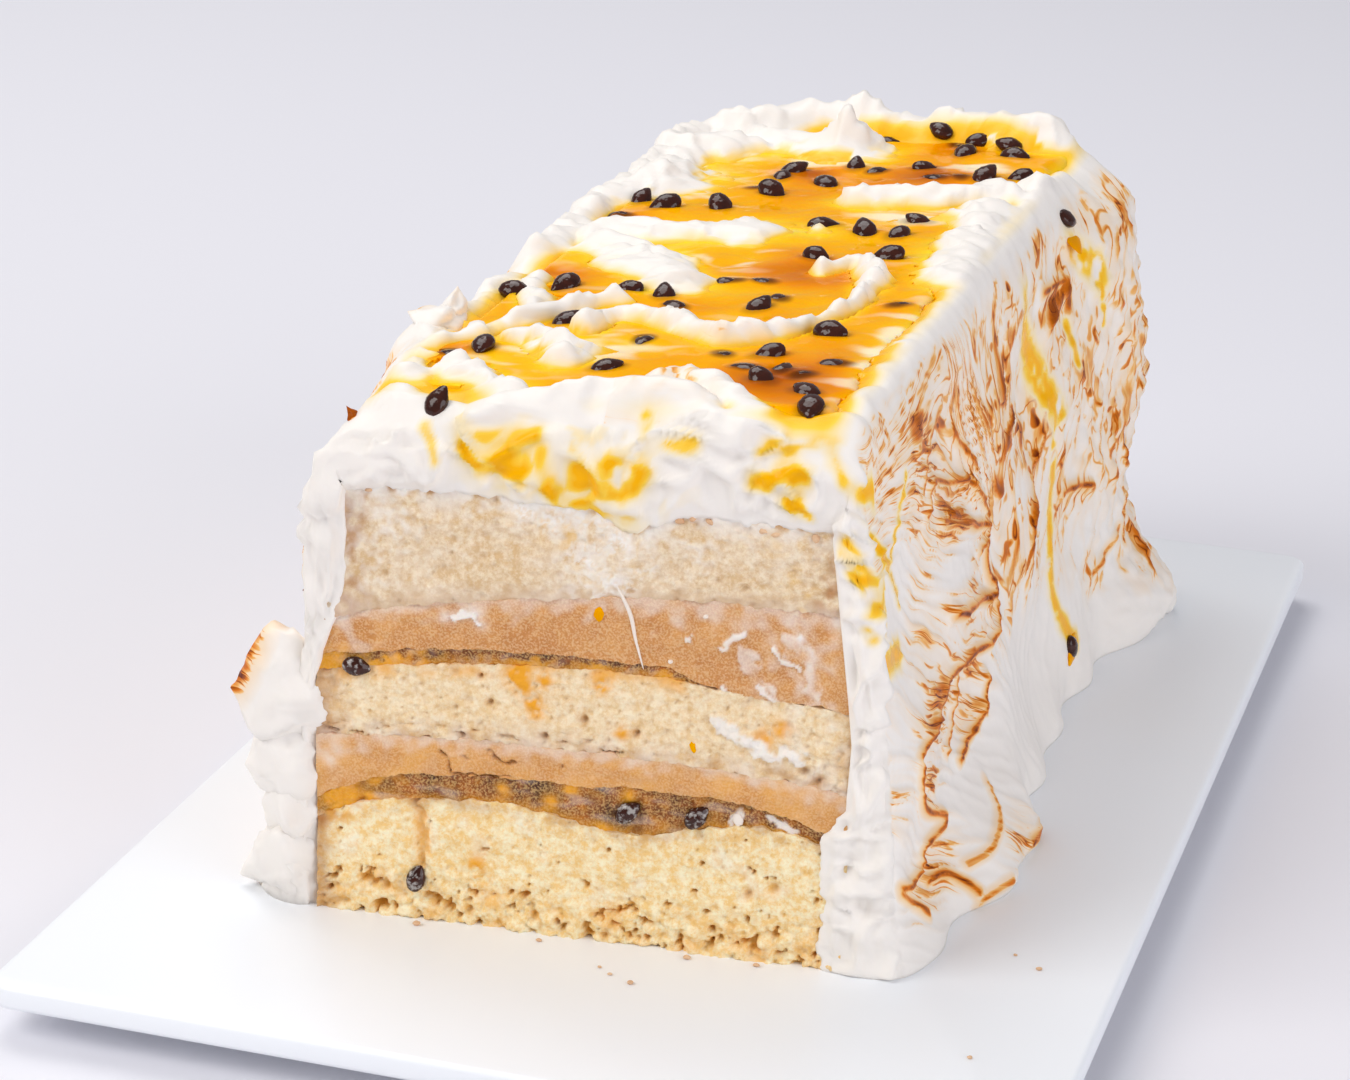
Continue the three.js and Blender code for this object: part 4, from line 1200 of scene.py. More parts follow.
edge_folds = 1.5 * wave + 1.2 * (creases - 0.3) + 0.35 * (upright - 0.3) + 1.3 * ruffles
relief += inner_lip * (1 - top_share) * edge_folds
over_pools = step_up(z - plain_top(x), 2.4, 4)
top_edges = on_sheet(thin_edges(flat_places + 3 * warp, (10, 6, 6), 685, 0.72))
relief += top_share * outside * (0.15 * dabs + 0.8 * over_pools * (top_edges - 0.2))
relief *= z > 0.4
sheet += relief[:, :, None] * square_out
sheet[:, :, 2] = np.maximum(sheet[:, :, 2], 0)
sheet[:, :, 2] = np.where(z <= 0, 0, sheet[:, :, 2])

# %% [markdown]
# ## Where the pulp stains the coat
# Pulp soaks into the edge of the meringue around each pool, swirls over the low folds and runs over
# the lip and down the wall in a few places. The mask is strongest just over the level of the pulp.

# %% Stains
PULP_LEVEL = 2.1
PULP_SIDES = (-43, 42)
PULP_ENDS = (-92, 108)

over_pulp = z - (plain_top(x) + PULP_LEVEL)
in_pools = step_up(x, -46, -40) * (1 - step_up(x, 36, 42)) * step_up(y, -97, -90) * (1 - step_up(y, 106, 114))
swirl = on_sheet(bumps(flat_places + 5 * warp, (10, 8, 7), 673))
thin_swirl = on_sheet(bumps(flat_places + 3 * warp, (4.5, 4, 4), 675))
soaked = 1 - step_up(over_pulp, -0.1, 0.7 + 0.6 * thin_swirl)
# Averaged with its neighbours, so that its edge doesn't follow the mesh in steps.
for axis in (0, 1, 0, 1):
    soaked = 0.25 * np.roll(soaked, 1, axis) + 0.5 * soaked + 0.25 * np.roll(soaked, -1, axis)
climb = 1 + 2.4 * mound(x, y, (12, 107), (24, 8))
mixing = step_up(climb, 1.1, 1.6)
for centre, reach, _ in SHALLOWS:
    mixing = np.maximum(mixing, mound(x, y, centre, 1.3 * np.array(reach)))
filmed = (0.15 + 0.85 * mixing) * (1 - step_up(over_pulp, 0.6 * climb, 2.6 * climb))
filmed *= step_up(swirl + 0.6 * thin_swirl + 0.35 * (climb - 1), 0.1, 0.3)
stain = top_share * outside * in_pools * np.maximum(0.9 * soaked, 0.8 * filmed)

# %% Smears and drips
# Smears on the lip: half width, strength and the way of each in x and height.
LIP_SWIRLS = [
    (2.6, 1.0, [(-21, 88.6), (-17.8, 87.3), (-14.3, 86)]), (1.2, 0.6, [(-20, 91), (-16, 90.5), (-11, 91)]),
    (1.3, 0.75, [(-11, 91), (-9.6, 86.5), (-8.3, 82.6), (-5.7, 80.2), (-1.1, 82.1)]),
    (1.6, 0.95, [(-3.9, 85.7), (-3.2, 83.3)]),
    (1.3, 0.8, [(0.9, 83.7), (-0.5, 86.2), (3.3, 88.7), (7.2, 88.4), (7, 85.1), (4.2, 82.7), (1.5, 83.5)]),
    (0.8, 0.5, [(7, 96.4), (7.8, 93)]), (1.3, 0.6, [(11.6, 92.5), (15.5, 93.6)]),
    (0.8, 0.45, [(-29.5, 90), (-27.8, 85.8)]),
    (1.1, 0.85, [(27.6, 93.8), (31.5, 93.5), (37.2, 94.8), (39.8, 91.2), (44, 87)]),
    (1.6, 1.0, [(27.9, 87.8), (30.4, 90.2), (32.3, 92.3), (33.7, 87.9), (33.2, 83.9), (31.3, 84.9)]),
    (1.5, 0.5, [(-0.2, 79.9), (3, 78), (6, 76.5)]),
    (1.3, 0.85, [(42.5, 79), (44.3, 75), (46.5, 70), (47.6, 66.5)]),
    (1.1, 0.6, [(45.8, 85), (48, 80), (49.5, 76)]), (0.9, 0.6, [(46, 63.5), (47, 61.6)]),
]
front = (ring_number >= first_lip) & (y < CUT_FRONT + 8)
smear = np.zeros(x.shape)
spot_xz = np.column_stack([x[front], z[front]]) + 1.2 * warp.reshape(*x.shape, 3)[front][:, [0, 2]]
for half, strength, way in LIP_SWIRLS:
    away = away_from(smooth_way(way), spot_xz) / (1.25 * half) + 0.9 * thin_swirl[front]
    smear[front] = np.maximum(smear[front], strength * np.exp(-np.maximum(away, 0) ** 2))
smear_edges = step_up(on_sheet(bumps(flat_places + 5 * warp, (4.5, 4, 3), 671)), -0.3, 0.35)
broad = mound(x, z, (-4, 86), (15, 9))
threads = step_up(on_sheet(bumps(flat_places + 5 * warp, (3, 3, 5.5), 677)), -0.1, 0.3)
stain += smear * (0.35 + 0.65 * smear_edges) + lip * broad * (0.12 + 0.3 * threads)
# Drips on the right wall: half width and the way of each in y and height.
RUNS = [
    (2.6, [(22, 96), (26, 88), (33, 77)]), (3.6, [(33, 77), (40, 67), (46, 59)]),
    (1.7, [(44, 60), (45, 46), (42, 35), (38, 25), (43, 15)]),
    (3.4, [(62, 96), (66, 90), (72, 84), (76, 80)]), (2.2, [(41, 18), (44, 13), (47, 11)]),
    (1.1, [(74, 84), (77, 76), (78, 70)]), (1.2, [(58, 74), (60, 66)]),
    (2.4, [(-100, 60), (-92, 57), (-80, 54)]), (1.2, [(-92, 80), (-84, 69), (-76, 62)]),
    (1.0, [(-100, 72), (-92, 66)]), (0.9, [(-74, 84), (-84, 72)]), (2.2, [(30, 96), (28, 90)]),
]
runs = np.zeros(x.shape)
for half, way in RUNS:
    away = away_from(smooth_way(way), spot_yz) / half + 0.5 * dabs[on_right]
    runs[on_right] = np.maximum(runs[on_right], np.exp(-away ** 2))
stain += wall * runs * step_up(dabs + 0.4 * patches, -0.7, 0.0)

# %% [markdown]
# ## The coat as one mesh
# A plain grid gets a row for each ring of the sheet and a column for each point of a ring. Its points
# are moved to the sheet, and the masks go along. Three faces then close it: behind the block, at the
# loaf's end and at its foot.

# %% Meringue mesh
fresh()
ring_points = len(outer_section)
bpy.ops.mesh.primitive_grid_add(x_subdivisions=ring_points - 1, y_subdivisions=len(sheet) - 1, size=2)
meringue = bpy.context.object
square = (points(meringue) * MM)[:, :2]
column = np.rint((square[:, 0] + 1) / 2 * (ring_points - 1)).astype(int)
row = np.rint((square[:, 1] + 1) / 2 * (len(sheet) - 1)).astype(int)
set_points(meringue, sheet[row, column])
coat_masks = {"toast": zone, "stroke": stroke_away / STROKE_REACH, "dark": stroke_dark * wall, "stain": stain}
for name, values in coat_masks.items():
    set_mask(meringue, name, values[row, column])
for name, values in (("streak", streak), ("run", run)):
    set_mask(meringue, name, (values + STREAK_START)[row, column], most=STREAK_MOST)


def choose(piece, chosen):
    """Selects the chosen points of a piece and stays in edit mode."""
    bpy.ops.object.mode_set(mode="EDIT")
    bpy.ops.mesh.select_mode(type="VERT")
    bpy.ops.mesh.select_all(action="DESELECT")
    bpy.ops.object.mode_set(mode="OBJECT")
    piece.data.vertices.foreach_set("select", chosen)
    bpy.ops.object.mode_set(mode="EDIT")


for hole in (row == 0, row == len(sheet) - 1, (column == 0) | (column == ring_points - 1)):
    choose(meringue, hole)
    bpy.ops.mesh.edge_face_add()
fresh()
meringue.select_set(True)
bpy.ops.object.shade_smooth()

# %% [markdown]
# ## Meringue finish
# Whipped egg white and sugar is a very white, close foam with a satin skin. Light goes a little way
# in, so its shadows stay soft. The torch turns the sugar to caramel: straw first, then brown, then
# nearly black on the thinnest edges. A noise stretched along the strokes breaks each torched zone
# into streaks, thin lines follow it, and a tan halo lies beside the dark crest of each drawn stroke.

# %% Meringue material
torched_meringue, tree, shader = new_material("Italian meringue, torched")
mask = {name: stored(tree, name) for name in ("toast", "stroke", "dark", "stain", "streak", "run")}


def streak_noise(length, thickness, detail, distortion, turn):
    """Noise drawn out along the strokes, with its length and thickness in mm."""
    lengthwise = maths(tree, "MULTIPLY", mask["run"], 1 / length)
    crosswise = maths(tree, "MULTIPLY", mask["streak"], 1 / thickness)
    spread = node(tree, "ShaderNodeCombineXYZ", {"X": lengthwise, "Y": crosswise, "Z": turn})
    inputs = {"Vector": spread.outputs["Vector"], "Scale": 1.0, "Detail": detail, "Roughness": 0.6,
              "Distortion": distortion}
    return node(tree, "ShaderNodeTexNoise", inputs).outputs["Fac"]


# Streaks in the torched zones, over a haze of straw.
grain = streak_noise(26, 1.7, 3.0, 0.3, 0.0)
fine_grain = streak_noise(15, 0.9, 2.0, 0.3, 3.0)
scorch = maths(tree, "MULTIPLY_ADD", maths(tree, "ADD", grain, fine_grain), 0.5, mask["toast"])
streak_heat = ranged(tree, scorch, 0.86, 1.35, end=0.8)
haze = maths(tree, "MULTIPLY", mask["toast"], 0.3)

# Thin dark lines along the middle value of another noise, and specks at the peaks of a third.
off_line = maths(tree, "ABSOLUTE", maths(tree, "SUBTRACT", streak_noise(30, 2.8, 2.0, 0.4, 7.0), 0.5))
torched_here = ranged(tree, mask["toast"], 0.2, 0.6)
line_heat = maths(tree, "MULTIPLY", ranged(tree, off_line, 0.0, 0.04, 1.0, 0.0), torched_here)
specks = ranged(tree, streak_noise(8, 1.6, 0.0, 0.0, 13.0), 0.66, 0.74)
speck_heat = maths(tree, "MULTIPLY", specks, torched_here)

# The crest of each drawn stroke, broken by the grain, and the halo beside it.
core = ranged(tree, mask["stroke"], 0.02, 0.12, 1.0, 0.0)
broken = ranged(tree, grain, 0.34, 0.58, start=0.5)
stroke_heat = maths(tree, "MULTIPLY", maths(tree, "MULTIPLY", core, broken), mask["dark"])
halo_heat = maths(tree, "MULTIPLY", ranged(tree, mask["stroke"], 0.04, 0.3, 0.34, 0.0), mask["dark"])

heat = streak_heat
for other in (haze, line_heat, speck_heat, stroke_heat, halo_heat):
    heat = maths(tree, "MAXIMUM", heat, other)
colour = toned(tree, "F6F0E9", (
    (heat, 0.04, 0.28, "FAC878"), (heat, 0.2, 0.52, "DE7606"), (heat, 0.52, 0.95, "6E2600"),
    (mask["stain"], 0.03, 0.25, "FBE8BE"), (mask["stain"], 0.25, 0.5, "FFD24A"),
    (mask["stain"], 0.5, 0.85, "FFB800")))
set_surface(tree, shader, colour, noise(tree, own_place(tree), 2.4, 2.0), 0.15, 0.4)
tree.links.new(ranged(tree, mask["stain"], 0.3, 0.9, 0.4, 0.12), shader.inputs["Roughness"])
set_inputs(shader, {"Specular IOR Level": 0.1, "Subsurface Weight": 0.06, "Subsurface Scale": 2 * MM,
                    "Subsurface Radius": (1.0, 0.85, 0.7)})
put_on(meringue, "meringue_coat", torched_meringue, "meringue", "meringue")

# %% [markdown]
# ## Passion fruit pulp
# The pulp is a clear, sticky jelly that fills the hollows between the ridges. A flat grid is laid at
# its level, the parts that would lie inside the meringue are cut away, and what is left is extruded
# down into the coat. A mask holds its depth, because a thin film is lemon and a deep pool orange.
# Two more masks darken it around the seeds and mix milky meringue into the shallows.

# %% Seeds' places
SEED_LENGTH, SEED_WIDTH, SEED_HEIGHT = 6.2, 4.3, 2.8
SEED_TURN = 2.4
SEED_PLACES = [
    (-39, -29), (-37, -70), (-32, -66), (-23, -47), (-19, -24), (-7, -33), (-11, -27), (-31, -24),
    (-2, -14), (4, -13), (10, -24), (8, -31), (18, -60), (25, -45), (10, -61), (-6, -55),
    (-7, -73), (16, -68), (21, -75), (23, -69), (27, -71), (31, -63), (30, -80), (33, -88),
    (32, -24), (22, 8), (9, 5), (13, 26), (20, 25), (4, 30), (21, 37), (-20, 40),
    (-37, 42), (-31, 38), (-38, 31), (-5, 64), (-15, 67), (-14, 73), (-17, 57), (-13, 53),
    (-2, 78), (3, 76), (12, 81), (16, 73), (21, 74), (26, 74), (33, 75), (28, 94), (14, 102), (17, 95),
]
# Numbers of the seeds that have sunk under the pulp.
SUNK = {1, 5, 8, 9, 10, 14, 15, 17, 19, 20, 21, 24, 34, 38, 41, 43, 44, 48}
pulp_seeds = np.array([(seed_x, seed_y, SEED_TURN * k) for k, (seed_x, seed_y) in enumerate(SEED_PLACES)])
print("seeds in the pulp:", len(pulp_seeds))

# %% Pulp mesh
PULP_CELL = 0.6
# How far the pulp falls where it thins out over the right rim.
PULP_FALL = 3.2
# Deep places in the pulp: x, y and reach.
DEEP = [(24, -73, 13), (10, -3, 10), (-39, -70, 6), (-40, 27, 8), (15, 73, 10), (15, 104, 10),
        (-40, -18, 8), (-10, 72, 6)]
# How thick the pulp is, and how far inside the meringue its grid is kept.
PULP_THICK, PULP_KEPT = 3, 0.35


def pulp_surface(spots_xy):
    """Height of the pulp: a soft swell, drawn up around each seed, that falls at the right rim."""
    flat = np.column_stack([spots_xy, np.zeros(len(spots_xy))])
    height = plain_top(spots_xy[:, 0]) + PULP_LEVEL + 0.3 * bumps(flat, 8, 701) + 0.08 * bumps(flat, 2.5, 702)
    over_rim = spots_xy[:, 0] + 1.5 * bumps(flat, 7, 703) - PULP_SIDES[1]
    height -= PULP_FALL * step_up(over_rim, -7, -1)
    for seed_x, seed_y, _ in pulp_seeds:
        height += 0.5 * np.exp(-((spots_xy[:, 0] - seed_x) ** 2 + (spots_xy[:, 1] - seed_y) ** 2) / 3.2 ** 2)
    return height


fresh()
bpy.ops.mesh.primitive_grid_add(
    x_subdivisions=round((PULP_SIDES[1] - PULP_SIDES[0]) / PULP_CELL),
    y_subdivisions=round((PULP_ENDS[1] - PULP_ENDS[0]) / PULP_CELL), size=2)
pulp = bpy.context.object
square = (points(pulp) * MM)[:, :2]
across = np.interp(square[:, 0], (-1, 1), PULP_SIDES)
along = np.interp(square[:, 1], (-1, 1), PULP_ENDS)
spots_xy = np.column_stack([across, along])
dive = np.maximum(step_up(np.abs(across + 0.5), 38.5, 42.5), step_up(np.abs(along - 8), 96, 100))
surface = pulp_surface(spots_xy) - 4 * dive
bed = plain_top(across)
depth = surface - bed - top_rise(spots_xy, bed)
orange = 0.4 + 0.62 * np.clip(depth + folds(spots_xy, bed), 0, 2.4)
for deep_x, deep_y, reach in DEEP:
    orange += 2.0 * mound(across, along, (deep_x, deep_y), (reach, reach))
shade = np.zeros(len(spots_xy))
for k, (seed_x, seed_y, turn) in enumerate(pulp_seeds):
    aside = spots_xy - (seed_x, seed_y)
    lengthwise = aside @ (math.cos(turn), math.sin(turn))
    crosswise = aside @ (-math.sin(turn), math.cos(turn))
    oval = (lengthwise / (0.5 * SEED_LENGTH)) ** 2 + (crosswise / (0.5 * SEED_WIDTH)) ** 2
    strength, size = (0.9, 1.1) if k in SUNK else (0.55, 1.8)
    shade = np.maximum(shade, strength * np.exp(-(oval / size) ** 2))
set_points(pulp, np.column_stack([spots_xy, surface]))
level_places = np.column_stack([spots_xy, np.zeros(len(spots_xy))])
curled = level_places.copy()
curled[:, :2] += 5 * shifts(level_places, 14, 703, 2) + 1.6 * shifts(level_places, 5, 705, 2)
milk = bumps(curled, (15, 7, 9), 707) + 0.4 * bumps(curled, (7, 3, 9), 708)
mixed_in = np.zeros(len(spots_xy))
for centre, reach, _ in SHALLOWS:
    mixed_in = np.maximum(mixed_in, mound(across, along, centre, 1.2 * np.array(reach)))
set_mask(pulp, "milk", step_up(milk + 0.9 * mixed_in, 0.5, 1.0) * (0.2 + 0.7 * mixed_in))
set_mask(pulp, "depth", orange / 4)
set_mask(pulp, "shade", shade)
choose(pulp, depth < -PULP_KEPT)
bpy.ops.mesh.delete(type="VERT")
bpy.ops.mesh.select_all(action="SELECT")
bpy.ops.mesh.extrude_region_move(TRANSFORM_OT_translate={"value": (0, 0, -PULP_THICK * MM)})
bpy.ops.mesh.select_all(action="SELECT")
bpy.ops.mesh.normals_make_consistent(inside=False)
fresh()
pulp.select_set(True)
bpy.ops.object.shade_smooth_by_angle(angle=math.radians(60))

# %% Pulp material
# Passion fruit pulp: a thick, clear juice. It gives sharp wet highlights over a glowing yellow.
amber_pulp, tree, shader = new_material("Passion fruit pulp, wet")
cloud = noise(tree, own_place(tree), 18, 1.0)
thickness = maths(tree, "ADD", stored(tree, "depth"), ranged(tree, cloud, 0.3, 0.7, -0.12, 0.12))
colour = toned(tree, "FFD426", (
    (thickness, 0.05, 0.35, "FCB300"), (thickness, 0.35, 0.65, "EE8C00"), (thickness, 0.65, 1.0, "B85800"),
    (stored(tree, "milk"), 0.0, 1.0, "FFF4D2"), (stored(tree, "shade"), 0.1, 1.0, "4A2208")))
tree.links.new(colour, shader.inputs["Base Color"])
set_inputs(shader, {"Roughness": 0.05, "IOR": 1.36, "Specular IOR Level": 0.03, "Subsurface Weight": 0.2,
                    "Subsurface Radius": (1.0, 0.4, 0.02), "Subsurface Scale": 2 * MM})
put_on(pulp, "passion_fruit_pulp", amber_pulp, "pulp", "passion_pulp")

# %% [markdown]
# ## Seeds
# A passion fruit seed is a flat, black brown drop with a pitted skin, wet with juice. One sphere is
# flattened and drawn to a point, its skin dented, and then copied to every place with its own turn.

# %% Seeds
def taken_apart(pattern):
    """The points of a pattern, around its own centre, and its faces. The pattern is then removed."""
    form = points(pattern) * MM + (0, 0, BOARD_TOP * MM)
    faces = [tuple(face.vertices) for face in pattern.data.polygons]
    bpy.data.objects.remove(pattern)
    return form, faces


fresh()
bpy.ops.mesh.primitive_uv_sphere_add(segments=16, ring_count=10, radius=0.5)
bpy.ops.object.mode_set(mode="EDIT")
bpy.ops.mesh.select_all(action="SELECT")
bpy.ops.transform.rotate(value=math.radians(90), orient_axis="Y", center_override=(0, 0, 0))
bpy.ops.object.mode_set(mode="OBJECT")
seed_form, seed_faces = taken_apart(bpy.context.object)
seed_form[:, 1:] *= (1 - 0.32 * step_up(seed_form[:, 0], -0.05, 0.5))[:, None]
seed_form *= (SEED_LENGTH, SEED_WIDTH, SEED_HEIGHT)
seed_form *= 1 + 0.045 * bumps(seed_form, 0.9, 711)[:, None]


def turned(shape, turn, facing=(0, 0, 1)):
    """A flat shape turned about Z, then tipped so that its upper side looks along facing."""
    tip = Vector((0, 0, 1)).rotation_difference(Vector(facing)).to_matrix()
    return shape @ np.array(tip @ Matrix.Rotation(turn, 3, "Z")).T


seed_shapes = []
for k, (seed_x, seed_y, turn) in enumerate(pulp_seeds):
    towards_front, floats = (0.15, -0.75) if k in SUNK else (0.5, 0.4 + 0.35 * math.sin(7.3 * k))
    lean = (0.25 * math.sin(5 * turn), 0.3 * math.sin(3 * turn) - towards_front, 1)
    lift = plain_top(seed_x) + PULP_LEVEL + floats
    own_size = 1.05 + 0.1 * math.sin(3.1 * k)
    seed_shapes.append(turned(seed_form * own_size, turn, lean) + (seed_x, seed_y, lift))

# %% Seeds in the cut and on the meringue
# Seeds in the cut face: place x, height, turn in the face and how far they stand out.
FACE_SEEDS = [(-31, 7.8, 1.5, 0.5), (6.2, 25.1, 0.9, 0.3), (18.2, 25.7, 1.0, 0.3), (-42, 46.2, 0.05, 0.4)]
for seed_x, height, turn, proud in FACE_SEEDS:
    place = (seed_x, cut_at(seed_x) - proud, height)
    seed_shapes.append(turned(0.82 * seed_form, turn, (0.2, -1, 0.15)) + place)


def on_coat(start, direction):
    """Where a line from a place over the board, in mm, first meets the meringue."""
    begin = (Vector(start) + Vector((0, 0, BOARD_TOP))) * MM
    _, spot, _, _ = meringue.ray_cast(begin, Vector(direction))
    return np.array(spot) / MM - (0, 0, BOARD_TOP)


# Stray seeds on the meringue: where to look from, which way the seed faces, and its turn.
STRAYS = [
    ((65, 66, 114), (0.7, 0, 0.7), 1.0), ((80, 44, 13.5), (1, 0, 0.1), 0.6),
    ((-33, -112, 106), (-0.2, -0.8, 0.6), 1.2), ((-2, 88, 124), (0, -0.5, 0.85), 0.2),
    ((9, 93, 123), (0, -0.5, 0.85), 2.6), ((18, 90, 123), (0, -0.5, 0.85), 0.4),
    ((25, 87, 123), (0, -0.5, 0.85), 2.9),
]
stray_spots = []
for start, facing, turn in STRAYS:
    spot = on_coat(start, -Vector(facing))
    stray_spots.append(spot)
    seed_shapes.append(turned(seed_form, turn, facing) + spot + 0.1 * np.array(facing))


def joined(name, shapes, faces):
    """One piece from many copies of a shape, each with its own points."""
    mesh = bpy.data.meshes.new(name)
    count = len(shapes[0])
    all_points = (np.vstack(shapes) + (0, 0, BOARD_TOP)) * MM
    all_faces = [tuple(i + count * k for i in face) for k in range(len(shapes)) for face in faces]
    mesh.from_pydata(all_points.tolist(), [], all_faces)
    piece = bpy.data.objects.new(name, mesh)
    bpy.context.collection.objects.link(piece)
    fresh()
    piece.select_set(True)
    bpy.context.view_layer.objects.active = piece
    bpy.ops.object.shade_smooth()
    return piece


# %% Seed coat
# Seed coat: hard, black brown and wet, with a red brown light where it is thin.
seed_coat, tree, shader = new_material("Passion fruit seed coat, wet")
place = own_place(tree)
colour = blended(tree, noise(tree, place, 1.5, 3.0), "160A06", "4C2012")
rime = ranged(tree, noise(tree, place, 0.9, 3.0), 0.5, 0.64, end=0.75)
colour = blended(tree, maths(tree, "MULTIPLY", rime, stored(tree, "frost")), colour, "B9B4B0")
pitted = node(tree, "ShaderNodeTexVoronoi", {"Vector": place, "Scale": 1 / (0.8 * MM)})
set_surface(tree, shader, colour, pitted.outputs["Distance"], 0.35, 0.2)
set_inputs(shader, {"Roughness": 0.1, "Specular IOR Level": 0.38})
seeds = joined("passion_fruit_seeds", seed_shapes, seed_faces)
in_face = np.arange(len(seed_shapes)) - len(pulp_seeds)
set_mask(seeds, "frost", np.repeat((in_face >= 0) & (in_face < len(FACE_SEEDS)), len(seed_form)))
put_on(seeds, "passion_fruit_seeds", seed_coat, "seed")

# %% [markdown]
# ## Dollops at the edges
# At the left foot and along the left rim, meringue was dropped on and pulled off again. That leaves
# glossy lumps with a drawn-out tip, which the torch catches first. Each is a ball that is dented,
# folded and pulled out towards its tip.

# %% Dollops
fresh()
bpy.ops.mesh.primitive_ico_sphere_add(subdivisions=4, radius=1)
ball, ball_faces = taken_apart(bpy.context.object)


def dollop(salt, centre, size, tip):
    """A folded ball around a centre, pulled out to a tip, all in mm."""
    own = ball + 7 * salt
    folded = thin_edges(own + 0.3 * bumps(own, 0.8, 733)[:, None], (1.1, 1.1, 0.6), 732)
    shape = ball * (0.92 + 0.26 * bumps(own, 0.85, 731) + 0.13 * folded)[:, None] * np.array(size) / 2
    pull = np.maximum(0, ball @ (np.array(tip) / np.linalg.norm(tip)))[:, None] ** 5
    shape = shape * (1 - 0.75 * pull) + np.array(tip) * pull + centre
    shape[:, 2] = np.maximum(shape[:, 2], 0)
    return shape


# Each dollop: centre, size, tip seen from the centre, the side the flame came from and how dark it is.
DOLLOPS = [
    ((-55.3, -96, 38.5), (16.5, 15, 23), (-9.5, -1, -0.5), (-0.9, 0, 0.45), 0.65),
    ((-55.3, -96, 26.5), (14.5, 14, 19), (-7, -1, -2), (-0.6, 0, -0.8), 0.1),
    ((-55, -95, 7), (16, 16, 19), (-8.5, -2, -4), (-0.6, 0, -0.8), 0.0),
    ((-54.4, -96, 17), (11, 13, 16), (-4.6, -2, 0), (-0.6, 0, -0.8), 0.0),
    ((-46.5, -47, 92.5), (9, 12, 7), (-4.5, -3, 2.2), (-1, 0, 0.2), 0.35),
    ((-45.5, -44, 94.4), (5, 7, 5), (0.2, 1, 3.4), (0, 0, 1), 0.1),
    ((-44.6, -95, 89.2), (1.8, 2.6, 2), (-1.2, 0, 1.7), (-0.6, 0, 0.8), 1.0),
    ((-46.9, -95, 85.2), (1.5, 2.4, 2), (-1.1, 0, 0.3), (-1, 0, 0.2), 0.9),
    ((-48.9, -95, 82), (1.4, 2.4, 1.8), (-1, 0, 0), (-1, 0, 0), 0.9),
    ((-51.4, -95, 68.6), (1.3, 2, 1.6), (-1.1, 0, 0.6), (-1, 0, 0.3), 1.0),
    ((-52, -95, 64), (1.3, 2, 2.2), (-1.1, 0, 0), (-1, 0, 0), 0.9),
    ((-52.6, -95, 59.6), (1.3, 2, 1.8), (-1.1, 0, 0), (-1, 0, 0), 1.0),
    ((-52.8, -95, 56.8), (1.3, 2, 1.5), (-1, 0, 0), (-1, 0, 0), 1.0),
]
dollops = joined("meringue_dollops", [dollop(k, *each[:3]) for k, each in enumerate(DOLLOPS)], ball_faces)
flamed = np.concatenate([ball @ (np.array(flame) / np.linalg.norm(flame)) for *_, flame, _ in DOLLOPS])
burnt = np.repeat([dark for *_, dark in DOLLOPS], len(ball))
spiky = burnt > 0.7
set_mask(dollops, "toast", burnt * step_up(flamed, np.where(spiky, -0.4, 0.45), np.where(spiky, 0.3, 0.95)))
set_mask(dollops, "stroke", np.where(spiky, 0.22, 0.45) * (1 - flamed))
set_mask(dollops, "dark", burnt)
set_mask(dollops, "streak", points(dollops)[:, 2] + STREAK_START, most=STREAK_MOST)
set_mask(dollops, "run", points(dollops)[:, 1] + STREAK_START, most=STREAK_MOST)
put_on(dollops, "meringue_dollops", torched_meringue, "meringue")

# %% [markdown]
# ## Flecks, drops and crumbs
# The knife has dragged flecks of meringue, a string of it, a little pulp and loose crumbs over the
# cut, and a few crumbs lie on the board. Each is a ball that is flattened, drawn out and dented.

# %% Dabs and strings
def dab(salt, size, rough=0.2):
    """A dented ball of some size in mm, different for every salt."""
    dents = rough * bumps(ball + 5 * salt, 1.1, 721) + 0.5 * rough * bumps(ball + 5 * salt, 0.55, 722)
    return ball * (1 + dents)[:, None] * np.array(size) / 2


def on_face(salt, x, height, width, tall, turn, thick=1.2):
    """A dab on the cut face, turned in the face."""
    shape = dab(salt, (width, tall, thick))
    return turned(shape, turn, (0, -1, 0)) + (x, cut_at(x) + 0.1, height)


def string_along(way, thick, thin):
    """The ball drawn out along a way on the cut face, tapering."""
    share = (ball[:, 2] + 1) / 2
    line = smooth_way(way)
    steps = np.linspace(0, 1, len(line))
    radius = thick + (thin - thick) * share
    x = np.interp(share, steps, line[:, 0])
    height = np.interp(share, steps, line[:, 1])
    return np.column_stack([x + radius * ball[:, 0], cut_at(x) - 0.1 + radius * ball[:, 1], height])


# %% Flecks
# Flecks of meringue: x, height, width, tallness and turn in the face.
FLECKS = [(12.6, 53.4, 0.9, 0.7, 0), (18.4, 62.2, 1.0, 0.8, 0.5), (22.6, 42.8, 2.4, 2, -0.3),
          (25.2, 26, 1.8, 2.2, 0.4)]
# The string of meringue: its way in x and height.
STRING = [(3.2, 65.8), (5.5, 61.3), (6.6, 56.7), (8.1, 51.5)]
fleck_shapes = [on_face(k, *fleck) for k, fleck in enumerate(FLECKS)]
fleck_shapes.append(string_along(STRING, 0.5, 0.2))
# Smeared meringue: thin, cream white and wet enough for a soft shine.
soft_meringue, _, shader = new_material("Italian meringue, smeared")
set_inputs(shader, {"Base Color": linear("F1E6DA"), "Roughness": 0.35})
flecks = joined("meringue_flecks", fleck_shapes, ball_faces)
put_on(flecks, "meringue_flecks", soft_meringue, "meringue")

# %% Drops
# Drops of pulp on the face: x, height, width, tallness and turn.
DROPS = [(0.1, 60.4, 1.8, 2.5, 0), (17, 38.4, 1.3, 2.6, 0.3)]
drop_shapes = [on_face(40 + k, *each, 0.8) for k, each in enumerate(DROPS)]
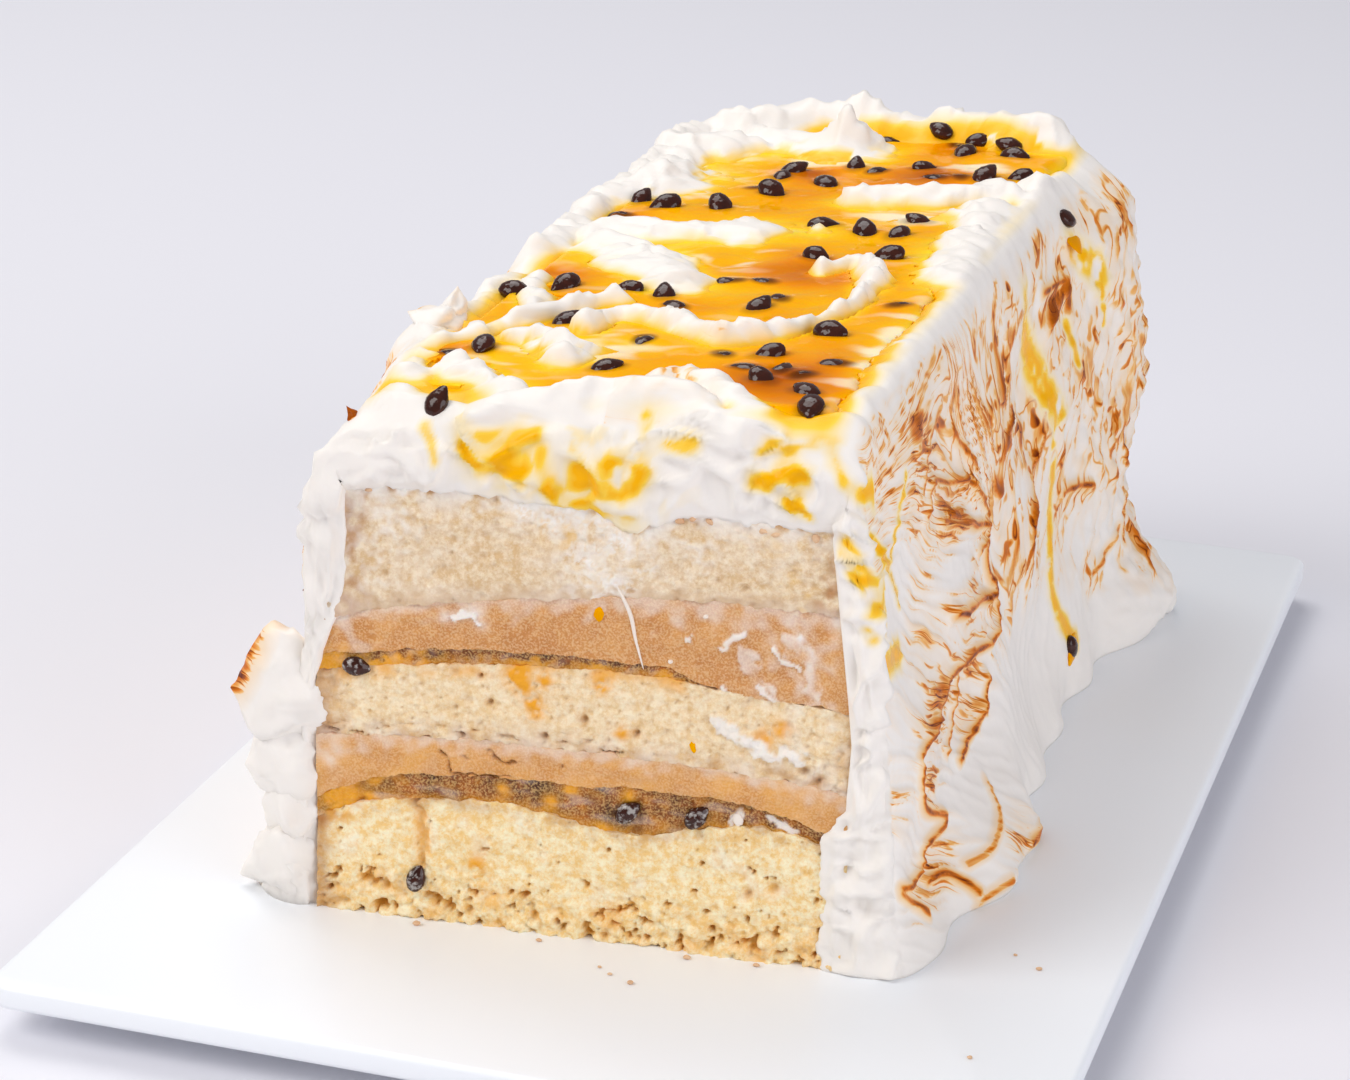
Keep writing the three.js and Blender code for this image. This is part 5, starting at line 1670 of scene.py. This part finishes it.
# Pulp that came along with the two seeds on the right wall.
for k, (length, width, aside) in enumerate(((13, 6.5, (0, 3, -3)), (7.5, 5.5, (0, 1, -0.6)))):
    _, facing, _ = STRAYS[k]
    drop_shapes.append(turned(dab(50 + k, (width, length, 1.6)), 0.6, facing) + stray_spots[k] + aside)
drops = joined("pulp_drops", drop_shapes, ball_faces)
set_mask(drops, "depth", np.full(len(drops.data.vertices), 0.45))
put_on(drops, "pulp_drops", amber_pulp, "pulp")

# %% Crumbs
# Crumbs under the lip, and crumbs on the board at x, y.
CRUST_CRUMBS = [(13.4, 78.6, 1.6, 1.1, 0.2), (15.6, 79.2, 1.3, 1.0, 0.6), (18.5, 79, 1.5, 1.0, -0.4),
                (27.4, 78.4, 1.7, 1.0, -0.1), (29.6, 78, 1.8, 1.1, 0.3), (36.3, 78, 1.2, 1.5, 0.3),
                (-40, 78.4, 1.5, 0.9, 0.1)]
BOARD_CRUMBS = [(76, -80, 1.0), (7.5, -108, 0.8), (11.8, -110, 1.1), (72, -116, 0.9), (71, -76, 0.7),
                (5, -106, 0.7), (-30, -101.5, 1.4), (18, -97.5, 1.3), (30, -96, 1.1), (-8, -100, 1.0)]
crumb_shapes = [on_face(60 + k, *each, 1.5) for k, each in enumerate(CRUST_CRUMBS)]
for k, (crumb_x, crumb_y, size) in enumerate(BOARD_CRUMBS):
    crumb = dab(80 + k, (size, 0.8 * size, 0.6 * size))
    crumb_shapes.append(crumb + (crumb_x, crumb_y, 0.3 * size))
# Browned crust: dry and matt, from tan to cream where the crumb shows.
baked_crumb, tree, shader = new_material("Browned sponge crust")
colour = blended(tree, noise(tree, own_place(tree), 2.5, 3.0), "C98F5E", "F0D3B0")
tree.links.new(colour, shader.inputs["Base Color"])
set_inputs(shader, {"Roughness": 0.7})
crumbs_piece = joined("sponge_crumbs", crumb_shapes, ball_faces)
put_on(crumbs_piece, "sponge_crumbs", baked_crumb, "sponge_soaked")

# %% [markdown]
# The dressed loaf should keep to the imported model's box, but for the tips of its swirls.

# %% Last scene update
bpy.context.view_layer.update()
